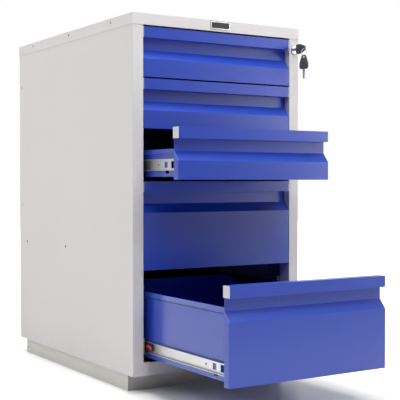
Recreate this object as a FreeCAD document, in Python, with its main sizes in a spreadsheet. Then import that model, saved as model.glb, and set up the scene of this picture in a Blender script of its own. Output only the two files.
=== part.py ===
import FreeCAD, Part
import Sketcher
import math
import os
import re

# Tool cabinet with five drawers on full-extension ball slides.
# Frame: X to the right, the front faces -Y, Z up, millimetres.
# Origin: on the floor, under the middle of the cabinet's body.
# The drawers stand as they are in the photograph: the third and the fifth are pulled out.

os.makedirs("parts", exist_ok=True)
doc = FreeCAD.newDocument("ToolCabinet")

# Driving dimensions, one row each: name, value, meaning
driving_dimensions = [
    ("body_width", 457, "outside of the two side panels"),
    ("body_depth", 665, "front face of the posts to the outside of the back panel"),
    ("body_height", 805, "underside of the bottom panel to the top of the lid"),
    ("sheet", 1, "body sheet"),
    ("post_width", 26.3, "front flange of a side panel, the post beside the drawers"),
    ("post_return", 38, "inner flange of a post"),
    ("lid_skirt", 25, "folded edge of the lid"),
    ("bottom_rail_height", 29.5, "front flange of the bottom panel"),
    ("rail_return", 12, "inner flange of the bottom rail"),
    ("header_height", 23, "header rail behind the lid's front skirt"),
    ("header_depth", 20, "header rail's flanges"),
    ("back_flange", 26, "side flanges of the back panel"),
    ("plinth_height", 41, "plinth"),
    ("plinth_side_inset", 13.5, "plinth behind the side panels"),
    ("plinth_toe_inset", 50, "plinth behind the front"),
    ("plinth_back_inset", 14, "plinth in front of the back"),
    ("plinth_sheet", 1.5, "plinth sheet"),
    ("plinth_flange", 22, "inner flanges of the plinth"),
    ("upright_sheet", 1.5, "sheet of the uprights that carry the slides"),
    ("upright_width", 33, "width of an upright"),
    ("upright_foot", 12, "an upright's feet on the side skin"),
    ("upright_top_gap", 30, "top of the uprights below the lid"),
    ("upright_front_set", 69, "middle of the front uprights behind the post face"),
    ("upright_middle_set", 5, "middle of the middle uprights behind the middle of the body"),
    ("upright_rear_set", 75.3, "middle of the rear uprights in front of the back"),
    ("large_front_ratio", 1.789, "fronts of the fourth and fifth drawers over the height of the others"),
    ("front_gap", 3.5, "gap between one drawer front and the next"),
    ("side_gap", 1.5, "gap between a drawer front and the post"),
    ("front_recess", 0.5, "drawer face behind the post face"),
    ("front_sheet", 1, "sheet of the drawer fronts"),
    ("front_depth", 19, "depth of the folded drawer front"),
    ("lip_height", 24, "hollow lip on top of a drawer front"),
    ("lip_depth", 22.5, "depth of the hollow lip"),
    ("groove_depth", 16.8, "finger groove under the lip"),
    ("groove_height", 26, "finger groove's upright back"),
    ("slope_height", 20.5, "sloping face under the groove"),
    ("corner_seam", 1.0, "open seam between a front's skin and its end plate"),
    ("back_plate_drop", 4, "top of the front's folded back plate below the groove"),
    ("cap_plate", 1, "end cap's plate on the end of the lip"),
    ("cap_plug", 8, "end cap's plug inside the lip"),
    ("cap_clearance", 0.3, "gap around the plug"),
    ("box_sheet", 1, "sheet of the drawer boxes"),
    ("box_back_gap", 65.5, "back end of a closed drawer box in front of the back"),
    ("box_rise", 6.5, "underside of the box above the bottom of its front"),
    ("box_drop", 45, "top of the box below the top of its front"),
    ("hem_height", 10.5, "folded edge along the top of the box sides"),
    ("hem_foot", 2, "how far the hem's lower edge stands out"),
    ("hem_head", 0.6, "how far the hem's upper edge stands out"),
    ("hook_slot_set", 58, "slot in the box side behind the drawer face"),
    ("hook_slot_length", 14, "slot in the box side"),
    ("hook_slot_rise", 7, "foot of the slot above the box's underside"),
    ("hook_slot_height", 10, "slot in the box side"),
    ("slide_thickness", 12.7, "room for a slide between upright and box"),
    ("slide_steel", 1.2, "sheet of the slide members"),
    ("slide_rise", 32, "middle of a slide above the bottom of its front"),
    ("slide_end_gap", 2, "slides behind the back of a closed drawer front"),
    ("cabinet_member_height", 45.6, "cabinet member of a slide"),
    ("cabinet_member_depth", 9.2, "cabinet member's flanges"),
    ("cabinet_member_extra", 10, "cabinet member longer than the drawer box"),
    ("middle_member_height", 35, "middle member of a slide"),
    ("middle_member_set", 3.2, "middle member's web off the upright"),
    ("middle_member_depth", 7.4, "middle member's flanges"),
    ("drawer_member_height", 24.6, "drawer member of a slide"),
    ("drawer_member_depth", 7.3, "drawer member's flanges"),
    ("drawer_member_extra", 8, "drawer member longer than the drawer box"),
    ("member_hole_radius", 2, "rivet hole in a drawer member"),
    ("member_hole_set", 100, "rivet hole behind the drawer face"),
    ("member_slot_set", 62, "front end of the slot behind the drawer face"),
    ("member_slot_length", 12.5, "slot in a drawer member"),
    ("member_slot_height", 13, "slot in a drawer member"),
    ("member_window_set", 33, "window near a drawer member's end behind the drawer face"),
    ("member_window_length", 13.5, "window in a drawer member"),
    ("member_window_height", 15, "window in a drawer member"),
    ("wall_window_margin", 1.5, "window in the box side around the member's window"),
    ("ball_clearance", 0.05, "between a ball and its race"),
    ("cage_sheet", 0.6, "ball cage"),
    ("cage_length", 200, "ball cage"),
    ("cage_clearance", 0.2, "between a cage's web and the member next to it"),
    ("cage_leg_gap", 0.6, "between a cage's leg ends and the members"),
    ("cage_hole_clearance", 0.1, "around a ball in its cage"),
    ("cage_set", 170, "front end of a closed drawer's cages behind the box front"),
    ("ball_pitch", 44, "from ball to ball"),
    ("lever_set", 338.5, "release lever's pivot behind the drawer face"),
    ("lever_length", 44, "release lever"),
    ("lever_height", 17, "release lever"),
    ("lever_nose", 12.5, "release lever's height at its ends"),
    ("lever_thickness", 4.4, "release lever"),
    ("lever_side_gap", 0.3, "between a lever and the member's web"),
    ("lever_tongue_length", 23, "red tongue on the lever"),
    ("lever_tongue_height", 7, "red tongue on the lever"),
    ("lever_tongue_set", 3, "middle of the tongue in front of the pivot"),
    ("lever_tongue_rise", 0.6, "red tongue above the lever's face"),
    ("lever_pin_gap", 0.3, "between the pin's end and the tongue"),
    ("lever_pin_radius", 2, "pin that the lever turns on"),
    ("running_clearance", 0.05, "round running fits"),
    ("drawer_3_pull", 150, "third drawer, how far it runs out of its middle members"),
    ("drawer_5_pull", 324, "fifth drawer, how far it runs out of its middle members"),
    ("drawer_5_middle_pull", 18, "fifth drawer, how far its middle members run out"),
    ("lock_top_set", 51.9, "middle of the lock below the top of the lid"),
    ("lock_flange_radius", 10, "lock's front flange"),
    ("lock_flange_thickness", 3, "lock's front flange"),
    ("lock_barrel_radius", 8, "lock's barrel"),
    ("lock_barrel_length", 22.5, "lock's barrel behind the post face"),
    ("lock_nut_across", 20, "lock's nut across its flats"),
    ("lock_nut_thickness", 4, "lock's nut"),
    ("plug_radius", 5.5, "lock's plug"),
    ("plug_recess", 0.5, "plug's face behind the flange's face"),
    ("plug_tail", 2, "plug behind the barrel"),
    ("keyway_depth", 25, "keyway in the plug"),
    ("keyway_clearance", 0.15, "around the blade in the keyway"),
    ("cam_thickness", 2.5, "cam on the plug's end"),
    ("cam_hub_radius", 6, "cam around its screw"),
    ("crank_radius", 7, "cam's pin off the plug's axis"),
    ("crank_pin_radius", 1.5, "cam's pin"),
    ("crank_pin_wall", 1.7, "cam around its pin"),
    ("crank_pin_length", 11.5, "cam's pin"),
    ("crank_slot_clearance", 0.3, "around the cam's pin in the lock bar"),
    ("bar_thickness", 2, "lock bar"),
    ("bar_width", 10, "lock bar from front to back"),
    ("bar_post_gap", 1.3, "between the post's flange and the lock bar"),
    ("bar_set", 39, "front edge of the lock bar behind the post face"),
    ("bar_foot", 120, "lower end of the lock bar above the floor"),
    ("bar_arm_reach", 3.5, "lock bar's head in front of the bar"),
    ("bar_arm_width", 10, "lock bar's slotted head"),
    ("bar_arm_height", 13, "lock bar's slotted head"),
    ("bar_hook_reach", 11, "lock bar's hooks towards the drawers"),
    ("bar_hook_height", 11, "lock bar's hooks"),
    ("bar_hook_gap", 1.6, "between an open hook and the top of the box"),
    ("bar_guide_clearance", 0.3, "around the lock bar in its guides"),
    ("bar_guide_low", 330, "lower guide of the lock bar above the floor"),
    ("bar_guide_drop", 236, "upper guide of the lock bar below the top of the lid"),
    ("bar_guide_thickness", 2, "guides of the lock bar"),
    ("bar_guide_width", 9, "guides of the lock bar"),
    ("lug_reach", 9.5, "lock lug on a box"),
    ("lug_length", 6, "lock lug on a box"),
    ("lug_height", 3, "lock lug on a box"),
    ("lug_hook_gap", 1.5, "between a hook and the lug that it holds"),
    ("key_blade_thickness", 2, "key's blade"),
    ("key_blade_width", 6.4, "key's blade"),
    ("key_blade_length", 23, "key's blade from its head to its tip"),
    ("key_shoulder", 8, "plain stretch of the blade next to the head"),
    ("key_deep_cut", 1.3, "deeper cuts in the blade"),
    ("key_shallow_cut", 0.8, "shallower cuts in the blade"),
    ("key_point_length", 2.1, "pointed end of the blade"),
    ("key_point_width", 2.1, "blunt tip of the blade"),
    ("key_tang", 9, "blade inside the head"),
    ("key_head_length", 34, "key's head"),
    ("key_head_width", 23.4, "key's head where it is widest"),
    ("key_head_foot", 18, "key's head at the blade"),
    ("key_head_bevel", 4, "length over which the head widens from the blade"),
    ("key_head_flank", 10.2, "length over which the head keeps its full width"),
    ("key_head_neck", 11, "key's head beside the ring hole"),
    ("key_head_tip", 5.5, "key's head at its end"),
    ("key_head_tip_length", 2, "length over which the head narrows to its end"),
    ("key_head_thickness", 4, "key's head"),
    ("key_head_round", 3, "corners of the key's head"),
    ("key_ring_hole_radius", 2.5, "ring hole in a key's head"),
    ("key_ring_hole_edge", 5, "middle of the ring hole from the end of the head"),
    ("key_stand_off", 11, "key's head in front of the post face"),
    ("ring_radius", 9, "key ring, to the middle of its wire"),
    ("ring_wire_radius", 0.7, "key ring's wire"),
    ("ring_rest_gap", 0.05, "between the ring and the edge of a key's hole"),
    ("ring_turn", 10, "how far the ring faces away from the front, degrees"),
    ("spare_key_turn", 20, "how far the spare key faces away from the other, degrees"),
    ("badge_width", 52.4, "badge plate"),
    ("badge_height", 18.5, "badge plate"),
    ("badge_thickness", 1, "badge plate"),
    ("badge_top_set", 11, "middle of the badge below the top of the lid"),
    ("screw_head_radius", 2.8, "heads of the body's screws and rivets"),
    ("screw_head_height", 0.9, "heads of the body's screws and rivets"),
    ("screw_shank_radius", 1.6, "shanks of the body's screws and rivets"),
    ("screw_hole_clearance", 0.1, "around a shank"),
    ("screw_shank_length", 6, "shanks of the body's screws and rivets"),
    ("lid_rivet_drop", 9, "lid rivets below the top of the lid"),
    ("lid_rivet_pitch", 230.5, "from one lid rivet to the next"),
    ("lid_rivet_set", 3.3, "middle lid rivet behind the middle of the body"),
    ("back_screw_set", 16.5, "screws of the back panel in front of the back"),
    ("back_screw_low", 409.5, "lower screw of the back panel above the floor"),
    ("back_screw_drop", 114.5, "upper screw of the back panel below the top of the lid"),
    ("upright_screw_rise", 310, "screws of the uprights above the floor"),
    ("plinth_screw_set", 24, "plinth screws in front of the back"),
    ("plinth_screw_rise", 14.5, "plinth screws above the floor"),
    ("post_slot_drop", 67, "foot of the slot in the right post's flange below the top of the lid"),
    ("post_slot_set", 1.5, "slot in the right post's flange behind the post face"),
    ("post_slot_height", 8.5, "slot in the right post's flange"),
    ("post_slot_width", 5, "slot in the right post's flange"),
]

sheet = doc.addObject("Spreadsheet::Sheet", "Sizes")
for row, (name, value, meaning) in enumerate(driving_dimensions, start=1):
    sheet.set(f"A{row}", name)
    sheet.set(f"B{row}", str(value))
    sheet.setAlias(f"B{row}", name)
    sheet.set(f"C{row}", meaning)
doc.recompute()

# Places and sizes that follow from the driving dimensions
derived = {
    "half_width": "body_width / 2",
    "inner_half_width": "half_width - sheet",
    "front_plane": "-1 * body_depth / 2",
    "back_plane": "body_depth / 2",
    "body_top": "plinth_height + body_height",
    "lid_underside": "body_top - sheet",
    "lid_edge": "body_top - lid_skirt",
    "floor_top": "plinth_height + sheet",
    "rail_top": "plinth_height + bottom_rail_height",
    "opening_half": "half_width - post_width",
    "small_front_height": "(lid_edge - rail_top - 6 * front_gap) / (3 + 2 * large_front_ratio)",
    "large_front_height": "large_front_ratio * small_front_height",
    "front_half": "opening_half - side_gap",
    "face_plane": "front_plane + front_recess",
    "box_front": "face_plane + front_depth",
    "box_length": "back_plane - box_back_gap - box_front",
    "slide_front": "box_front + slide_end_gap",
    "box_half": "opening_half - slide_thickness",
    "bottom_5": "rail_top + front_gap",
    "bottom_4": "bottom_5 + large_front_height + front_gap",
    "bottom_3": "bottom_4 + large_front_height + front_gap",
    "bottom_2": "bottom_3 + small_front_height + front_gap",
    "bottom_1": "bottom_2 + small_front_height + front_gap",
    "slope_ratio": "slope_height / groove_depth",
    "slope_lap": "front_sheet * (sqrt(1 + slope_ratio ^ 2) - slope_ratio)",
    "cabinet_member_length": "box_length + cabinet_member_extra",
    "middle_member_length": "box_length",
    "drawer_member_length": "box_length + drawer_member_extra",
    "cabinet_race": "cabinet_member_height / 2 - slide_steel",
    "middle_half": "middle_member_height / 2",
    "middle_race": "middle_half - slide_steel",
    "drawer_half": "drawer_member_height / 2",
    "outer_ball_radius": "(cabinet_race - middle_half) / 2 - ball_clearance",
    "outer_ball_height": "(cabinet_race + middle_half) / 2",
    "inner_ball_radius": "(middle_race - drawer_half) / 2 - ball_clearance",
    "inner_ball_height": "(middle_race + drawer_half) / 2",
    "middle_web_inside": "middle_member_set + slide_steel",
    "middle_tip": "middle_member_set + middle_member_depth",
    "drawer_tip": "slide_thickness - drawer_member_depth",
    "outer_ball_set": "(middle_member_set + cabinet_member_depth) / 2",
    "inner_ball_set": "(drawer_tip + middle_tip) / 2",
    "upright_front_middle": "front_plane + upright_front_set",
    "upright_middle_middle": "upright_middle_set",
    "upright_rear_middle": "back_plane - upright_rear_set",
    "back_screw_high": "body_top - back_screw_drop",
    "lock_middle": "half_width - post_width / 2",
    "lock_height": "body_top - lock_top_set",
    "barrel_end": "front_plane + lock_barrel_length",
    "plug_end": "barrel_end + plug_tail",
    "crank_offset": "crank_radius * sin(45)",
    "bar_inside": "opening_half + sheet + bar_post_gap",
    "bar_outside": "bar_inside + bar_thickness",
    "bar_front": "front_plane + bar_set",
    "bar_back": "bar_front + bar_width",
    "lug_front": "bar_front + bar_thickness + lug_hook_gap",
    "blade_face": "front_plane - key_stand_off",
    "ring_hole_plane": "blade_face - key_head_length + key_ring_hole_edge",
    "ring_inner_radius": "ring_radius - ring_wire_radius",
    "ring_top_reach": "sqrt(ring_inner_radius ^ 2 - (key_head_thickness / 2 / cos(ring_turn)) ^ 2)",
    "ring_middle_height": "lock_height - key_ring_hole_radius + ring_rest_gap - ring_top_reach",
    "ring_foot_turn": "spare_key_turn - ring_turn",
    "ring_foot_reach": "sqrt(ring_inner_radius ^ 2 - (key_head_thickness / 2 / cos(ring_foot_turn)) ^ 2)",
    "spare_hole_height": "ring_middle_height - ring_foot_reach + ring_rest_gap - key_ring_hole_radius",
    "spare_blade_face": "spare_hole_height + key_ring_hole_edge - key_head_length",
    "screw_hole_radius": "screw_shank_radius + screw_hole_clearance",
}
aliases = {name for name, value, meaning in driving_dimensions}


def bound(text):
    """A formula in which every name of a size is written out as a cell of the sheet."""
    def cell(match):
        word = match.group(0)
        if word in aliases:
            return f"Sizes.{word}"
        if word in derived:
            return f"({bound(derived[word])})"
        return word
    return re.sub(r"[a-z][a-z0-9_]*", cell, str(text))


def place(obj, x="0", y="0", z="0"):
    """Bind an object's position to formulas."""
    obj.setExpression("Placement.Base.x", bound(x))
    obj.setExpression("Placement.Base.y", bound(y))
    obj.setExpression("Placement.Base.z", bound(z))


def new_body(label, x="0", y="0", z="0"):
    """An empty body whose own origin stands at x, y, z."""
    body = doc.addObject("PartDesign::Body", label)
    body.Label = label
    place(body, x, y, z)
    return body


def new_sketch(body, plane, offset="0"):
    """A sketch on one of the body's own planes, moved along the plane's normal by offset."""
    sketch = body.newObject("Sketcher::SketchObject", body.Name + "_outline")
    support = [item for item in body.Origin.OriginFeatures if item.Role == plane][0]
    sketch.AttachmentSupport = [(support, "")]
    sketch.MapMode = "FlatFace"
    sketch.setExpression("AttachmentOffset.Base.z", bound(offset))
    return sketch


def tie(sketch, kind, geometry, vertex, formula):
    """Hold one coordinate of a point of the sketch at a formula."""
    index = sketch.addConstraint(Sketcher.Constraint(kind, -1, 1, geometry, vertex, 1.0))
    sketch.setExpression(f"Constraints[{index}]", bound(formula))


def add_outline(sketch, points):
    """A closed outline of straight edges, each corner held by its two formulas."""
    first = sketch.GeometryCount
    count = len(points)
    corners = []
    for step in range(count):
        turn = 2 * math.pi * step / count
        corners.append(FreeCAD.Vector(10 * math.cos(turn), 10 * math.sin(turn), 0))
    for step in range(count):
        sketch.addGeometry(Part.LineSegment(corners[step], corners[(step + 1) % count]), False)
    for step in range(count):
        following = first + (step + 1) % count
        sketch.addConstraint(Sketcher.Constraint("Coincident", first + step, 2, following, 1))
    for step, (across, upward) in enumerate(points):
        tie(sketch, "DistanceX", first + step, 1, across)
        tie(sketch, "DistanceY", first + step, 1, upward)


def add_rectangle(sketch, left, right, low, high):
    """A rectangle between four formulas."""
    add_outline(sketch, [(left, low), (right, low), (right, high), (left, high)])


def add_circle(sketch, across, upward, radius):
    """A circle whose middle and radius are formulas."""
    circle = Part.Circle(FreeCAD.Vector(1, 1, 0), FreeCAD.Vector(0, 0, 1), 1)
    index = sketch.addGeometry(circle, False)
    tie(sketch, "DistanceX", index, 3, across)
    tie(sketch, "DistanceY", index, 3, upward)
    size = sketch.addConstraint(Sketcher.Constraint("Radius", index, 1.0))
    sketch.setExpression(f"Constraints[{size}]", bound(radius))


def pad(body, sketch, length, both_ways=False, backwards=False):
    """Raise the sketch into a solid."""
    feature = body.newObject("PartDesign::Pad", body.Name + "_pad")
    feature.Profile = sketch
    feature.setExpression("Length", bound(length))
    feature.Midplane = both_ways
    feature.Reversed = backwards
    doc.recompute()
    return feature


def pocket(body, sketch, length, both_ways=False, backwards=False):
    """Cut the sketch out of the solid, which must lose volume."""
    before = body.Shape.Volume
    feature = body.newObject("PartDesign::Pocket", body.Name + "_pocket")
    feature.Profile = sketch
    feature.setExpression("Length", bound(length))
    feature.Midplane = both_ways
    feature.Reversed = backwards
    doc.recompute()
    if body.Shape.Volume > before - 0.001:
        raise RuntimeError(f"{feature.Name} cuts nothing")
    return feature


def box(label, x, y, z, length, width, height):
    """A block from its lower corner and its three sizes, all formulas."""
    block = doc.addObject("Part::Box", label)
    block.setExpression("Length", bound(length))
    block.setExpression("Width", bound(width))
    block.setExpression("Height", bound(height))
    place(block, x, y, z)
    return block


def rod(label, x, y, z, radius, length, direction):
    """A round rod that starts at x, y, z and runs along direction."""
    cylinder = doc.addObject("Part::Cylinder", label)
    cylinder.setExpression("Radius", bound(radius))
    cylinder.setExpression("Height", bound(length))
    turn = FreeCAD.Rotation(FreeCAD.Vector(0, 0, 1), direction)
    cylinder.Placement = FreeCAD.Placement(FreeCAD.Vector(0, 0, 0), turn)
    place(cylinder, x, y, z)
    return cylinder


def joined(label, shapes):
    """Several shapes as one solid."""
    fusion = doc.addObject("Part::MultiFuse", label)
    fusion.Shapes = shapes
    fusion.Refine = True
    return fusion


def together(label, shapes):
    """Separate solids that make one sub-part."""
    group = doc.addObject("Part::Compound", label)
    group.Links = shapes
    return group


FORWARD = FreeCAD.Vector(0, -1, 0)
BACKWARD = FreeCAD.Vector(0, 1, 0)
SIDES = {"left": -1, "right": 1}
sub_parts = []


def keep(obj, label):
    """Name a finished sub-part and list it for export."""
    obj.Label = label
    sub_parts.append(obj)


class Drawer:
    """One drawer's number, the height of its front and how far its slides are out."""

    def __init__(self, number, height, pull="0", middle_pull="0"):
        self.number = number
        self.name = f"drawer_{number}"
        self.height = height
        self.bottom = f"bottom_{number}"
        self.middle_pull = middle_pull
        self.pull = f"({pull} + {middle_pull})"
        self.inner_cage_pull = f"({pull} / 2 + {middle_pull})"
        self.outer_cage_pull = f"({middle_pull} / 2)"
        self.slide_height = f"({self.bottom} + slide_rise)"
        self.box_top = f"({self.bottom} + {height} - box_drop)"


DRAWERS = [
    Drawer(1, "small_front_height"),
    Drawer(2, "small_front_height"),
    Drawer(3, "small_front_height", pull="drawer_3_pull"),
    Drawer(4, "large_front_height"),
    Drawer(5, "large_front_height", pull="drawer_5_pull", middle_pull="drawer_5_middle_pull"),
]

SCREWED_UPRIGHTS = ["upright_middle_middle", "upright_rear_middle"]
UPRIGHT_ROWS = ["upright_front_middle"] + SCREWED_UPRIGHTS


# Side panels: skin, front post and the post's inner flange folded from one sheet.
# Seen from above, the section is a hook. The post stops on top of the bottom rail.
def side_panel(side, sign):
    body = new_body(f"{side}_side_panel", z="plinth_height")
    section = new_sketch(body, "XY_Plane")
    add_outline(section, [
        (f"{sign} * half_width", "front_plane"),
        (f"{sign} * opening_half", "front_plane"),
        (f"{sign} * opening_half", "front_plane + post_return"),
        (f"{sign} * (opening_half + sheet)", "front_plane + post_return"),
        (f"{sign} * (opening_half + sheet)", "front_plane + sheet"),
        (f"{sign} * inner_half_width", "front_plane + sheet"),
        (f"{sign} * inner_half_width", "back_plane"),
        (f"{sign} * half_width", "back_plane"),
    ])
    pad(body, section, "body_height - sheet")

    foot = new_sketch(body, "XY_Plane")
    add_outline(foot, [
        (f"{sign} * inner_half_width", "front_plane - sheet"),
        (f"{sign} * (opening_half - sheet)", "front_plane - sheet"),
        (f"{sign} * (opening_half - sheet)", "front_plane + post_return + sheet"),
        (f"{sign} * inner_half_width", "front_plane + post_return + sheet"),
    ])
    pocket(body, foot, "bottom_rail_height", backwards=True)

    holes = new_sketch(body, "YZ_Plane", f"{sign} * half_width")
    for across, upward in side_screw_places():
        add_circle(holes, across, f"{upward} - plinth_height", "screw_hole_radius")
    for across, upward in lid_rivet_places():
        add_circle(holes, across, f"{upward} - plinth_height", "screw_hole_radius")
    pocket(body, holes, "4 * sheet", both_ways=True)
    return body


def side_screw_places():
    """Screws through a side skin, as y and z: two in the back panel, two in the uprights."""
    back_row = "back_plane - back_screw_set"
    places = [(back_row, "back_screw_low"), (back_row, "back_screw_high")]
    for upright_row in SCREWED_UPRIGHTS:
        foot_row = f"{upright_row} + upright_width / 2 + upright_foot / 2"
        places.append((foot_row, "upright_screw_rise"))
    return places


def lid_rivet_places():
    """Rivets through a lid skirt and a side skin, as y and z."""
    row_height = "body_top - lid_rivet_drop"
    return [(f"lid_rivet_set + {step} * lid_rivet_pitch", row_height) for step in (-1, 0, 1)]


left_side_panel = side_panel("left", -1)
keep(left_side_panel, "left_side_panel")

right_side_panel = side_panel("right", 1)
lock_hole = new_sketch(right_side_panel, "XZ_Plane", "body_depth / 2")
add_circle(lock_hole, "lock_middle", "lock_height - plinth_height", "lock_barrel_radius + running_clearance")
pocket(right_side_panel, lock_hole, "4 * sheet", both_ways=True)
post_slot = new_sketch(right_side_panel, "YZ_Plane", "opening_half")
add_rectangle(
    post_slot,
    "front_plane + post_slot_set",
    "front_plane + post_slot_set + post_slot_width",
    "body_height - post_slot_drop",
    "body_height - post_slot_drop + post_slot_height",
)
pocket(right_side_panel, post_slot, "4 * sheet", both_ways=True)
keep(right_side_panel, "right_side_panel")


# Back panel: a sheet with a flange along each side, which the screws in the side skins hold
back_panel = new_body("back_panel", z="floor_top")
back_section = new_sketch(back_panel, "XY_Plane")
add_outline(back_section, [
    ("-1 * inner_half_width", "back_plane"),
    ("-1 * inner_half_width", "back_plane - back_flange"),
    ("-1 * inner_half_width + sheet", "back_plane - back_flange"),
    ("-1 * inner_half_width + sheet", "back_plane - sheet"),
    ("inner_half_width - sheet", "back_plane - sheet"),
    ("inner_half_width - sheet", "back_plane - back_flange"),
    ("inner_half_width", "back_plane - back_flange"),
    ("inner_half_width", "back_plane"),
])
pad(back_panel, back_section, "lid_underside - floor_top")
back_holes = new_sketch(back_panel, "YZ_Plane")
for screw_height in ("back_screw_low", "back_screw_high"):
    add_circle(back_holes, "back_plane - back_screw_set", f"{screw_height} - floor_top", "screw_hole_radius")
pocket(back_panel, back_holes, "body_width", both_ways=True)
keep(back_panel, "back_panel")


# Bottom panel: floor sheet with the front rail and the rail's short inner flange
bottom_panel = new_body("bottom_panel", z="plinth_height")
bottom_section = new_sketch(bottom_panel, "YZ_Plane")
add_outline(bottom_section, [
    ("front_plane", "0"),
    ("back_plane", "0"),
    ("back_plane", "sheet"),
    ("front_plane + sheet", "sheet"),
    ("front_plane + sheet", "bottom_rail_height - sheet"),
    ("front_plane + rail_return", "bottom_rail_height - sheet"),
    ("front_plane + rail_return", "bottom_rail_height"),
    ("front_plane", "bottom_rail_height"),
])
pad(bottom_panel, bottom_section, "2 * inner_half_width", both_ways=True)
keep(bottom_panel, "bottom_panel")


# Lid: a shallow tray turned over, its skirt lying outside the body
top_cover = new_body("top_cover", z="lid_edge")
lid_outline = new_sketch(top_cover, "XY_Plane")
add_rectangle(
    lid_outline,
    "-1 * (half_width + sheet)",
    "half_width + sheet",
    "front_plane - sheet",
    "back_plane + sheet",
)
pad(top_cover, lid_outline, "lid_skirt")
lid_inside = new_sketch(top_cover, "XY_Plane")
add_rectangle(lid_inside, "-1 * half_width", "half_width", "front_plane", "back_plane")
pocket(top_cover, lid_inside, "lid_skirt - sheet", backwards=True)
lid_holes = new_sketch(top_cover, "YZ_Plane")
for rivet_y, rivet_z in lid_rivet_places():
    add_circle(lid_holes, rivet_y, f"{rivet_z} - lid_edge", "screw_hole_radius")
pocket(top_cover, lid_holes, "body_width + 4 * sheet", both_ways=True)
keep(top_cover, "top_cover")


# Header rail: a channel between the two posts, hidden by the lid's front skirt
header_rail = new_body("header_rail", z="lid_underside - header_height")
header_section = new_sketch(header_rail, "YZ_Plane")
add_outline(header_section, [
    ("front_plane", "0"),
    ("front_plane + header_depth", "0"),
    ("front_plane + header_depth", "sheet"),
    ("front_plane + sheet", "sheet"),
    ("front_plane + sheet", "header_height - sheet"),
    ("front_plane + header_depth", "header_height - sheet"),
    ("front_plane + header_depth", "header_height"),
    ("front_plane", "header_height"),
])
pad(header_rail, header_section, "2 * opening_half", both_ways=True)
keep(header_rail, "header_rail")


# Plinth: a frame of four channels that open inwards, set back under the front for the toes
plinth_half = "(half_width - plinth_side_inset)"
plinth_front = "(front_plane + plinth_toe_inset)"
plinth_back = "(back_plane - plinth_back_inset)"


def plinth_ring(sketch, inset):
    """The plinth's plan outline, taken in by inset on every side."""
    add_rectangle(
        sketch,
        f"-1 * {plinth_half} + {inset}",
        f"{plinth_half} - {inset}",
        f"{plinth_front} + {inset}",
        f"{plinth_back} - {inset}",
    )


plinth = new_body("plinth")
plinth_outline = new_sketch(plinth, "XY_Plane")
plinth_ring(plinth_outline, "0")
plinth_ring(plinth_outline, "plinth_flange")
pad(plinth, plinth_outline, "plinth_height")
plinth_inside = new_sketch(plinth, "XY_Plane", "plinth_sheet")
plinth_ring(plinth_inside, "plinth_sheet")
pocket(plinth, plinth_inside, "plinth_height - 2 * plinth_sheet", backwards=True)
plinth_holes = new_sketch(plinth, "YZ_Plane")
add_circle(plinth_holes, "back_plane - plinth_screw_set", "plinth_screw_rise", "screw_hole_radius")
pocket(plinth, plinth_holes, "body_width", both_ways=True)
keep(plinth, "plinth")


# Uprights: three hat channels inside each side skin, held by a screw through a rear foot.
# The slides are fixed to their webs.
# The front one on the right also has the two slotted tongues that guide the lock bar.
def upright(side, sign, upright_row):
    body = new_body(f"{side}_{upright_row}_channel", y=upright_row, z="floor_top")
    section = new_sketch(body, "XY_Plane")
    foot_face = f"{sign} * (inner_half_width - upright_sheet)"
    web_inside = f"{sign} * (opening_half + upright_sheet)"
    add_outline(section, [
        (f"{sign} * inner_half_width", "-1 * upright_width / 2 - upright_foot"),
        (foot_face, "-1 * upright_width / 2 - upright_foot"),
        (foot_face, "-1 * upright_width / 2"),
        (f"{sign} * opening_half", "-1 * upright_width / 2"),
        (f"{sign} * opening_half", "upright_width / 2"),
        (foot_face, "upright_width / 2"),
        (foot_face, "upright_width / 2 + upright_foot"),
        (f"{sign} * inner_half_width", "upright_width / 2 + upright_foot"),
        (f"{sign} * inner_half_width", "upright_width / 2 - upright_sheet"),
        (web_inside, "upright_width / 2 - upright_sheet"),
        (web_inside, "-1 * upright_width / 2 + upright_sheet"),
        (f"{sign} * inner_half_width", "-1 * upright_width / 2 + upright_sheet"),
    ])
    pad(body, section, "lid_underside - upright_top_gap - floor_top")
    if upright_row in SCREWED_UPRIGHTS:
        screw_hole = new_sketch(body, "YZ_Plane", f"{sign} * inner_half_width")
        foot_middle = "upright_width / 2 + upright_foot / 2"
        add_circle(screw_hole, foot_middle, "upright_screw_rise - floor_top", "screw_hole_radius")
        pocket(body, screw_hole, "4 * upright_sheet", both_ways=True)
    return body


def add_bar_guide(body, upright_row, rise):
    """A tongue with a slot for the lock bar, on the front flange of an upright."""
    tongue = new_sketch(body, "XY_Plane", f"{rise} - floor_top")
    add_rectangle(
        tongue,
        "opening_half + sheet",
        "opening_half + sheet + bar_guide_width",
        f"bar_front - 3 * bar_guide_clearance - bar_guide_thickness - {upright_row}",
        "-1 * upright_width / 2",
    )
    add_rectangle(
        tongue,
        "bar_inside - bar_guide_clearance",
        "bar_outside + bar_guide_clearance",
        f"bar_front - bar_guide_clearance - {upright_row}",
        f"bar_back + bar_guide_clearance - {upright_row}",
    )
    pad(body, tongue, "bar_guide_thickness")


uprights = []
for side_name, side_sign in SIDES.items():
    for row_name in UPRIGHT_ROWS:
        uprights.append(upright(side_name, side_sign, row_name))
front_right_upright = uprights[len(UPRIGHT_ROWS)]
add_bar_guide(front_right_upright, "upright_front_middle", "bar_guide_low")
add_bar_guide(front_right_upright, "upright_front_middle", "(body_top - bar_guide_drop)")
keep(together("slide_uprights", uprights), "slide_uprights")


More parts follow.
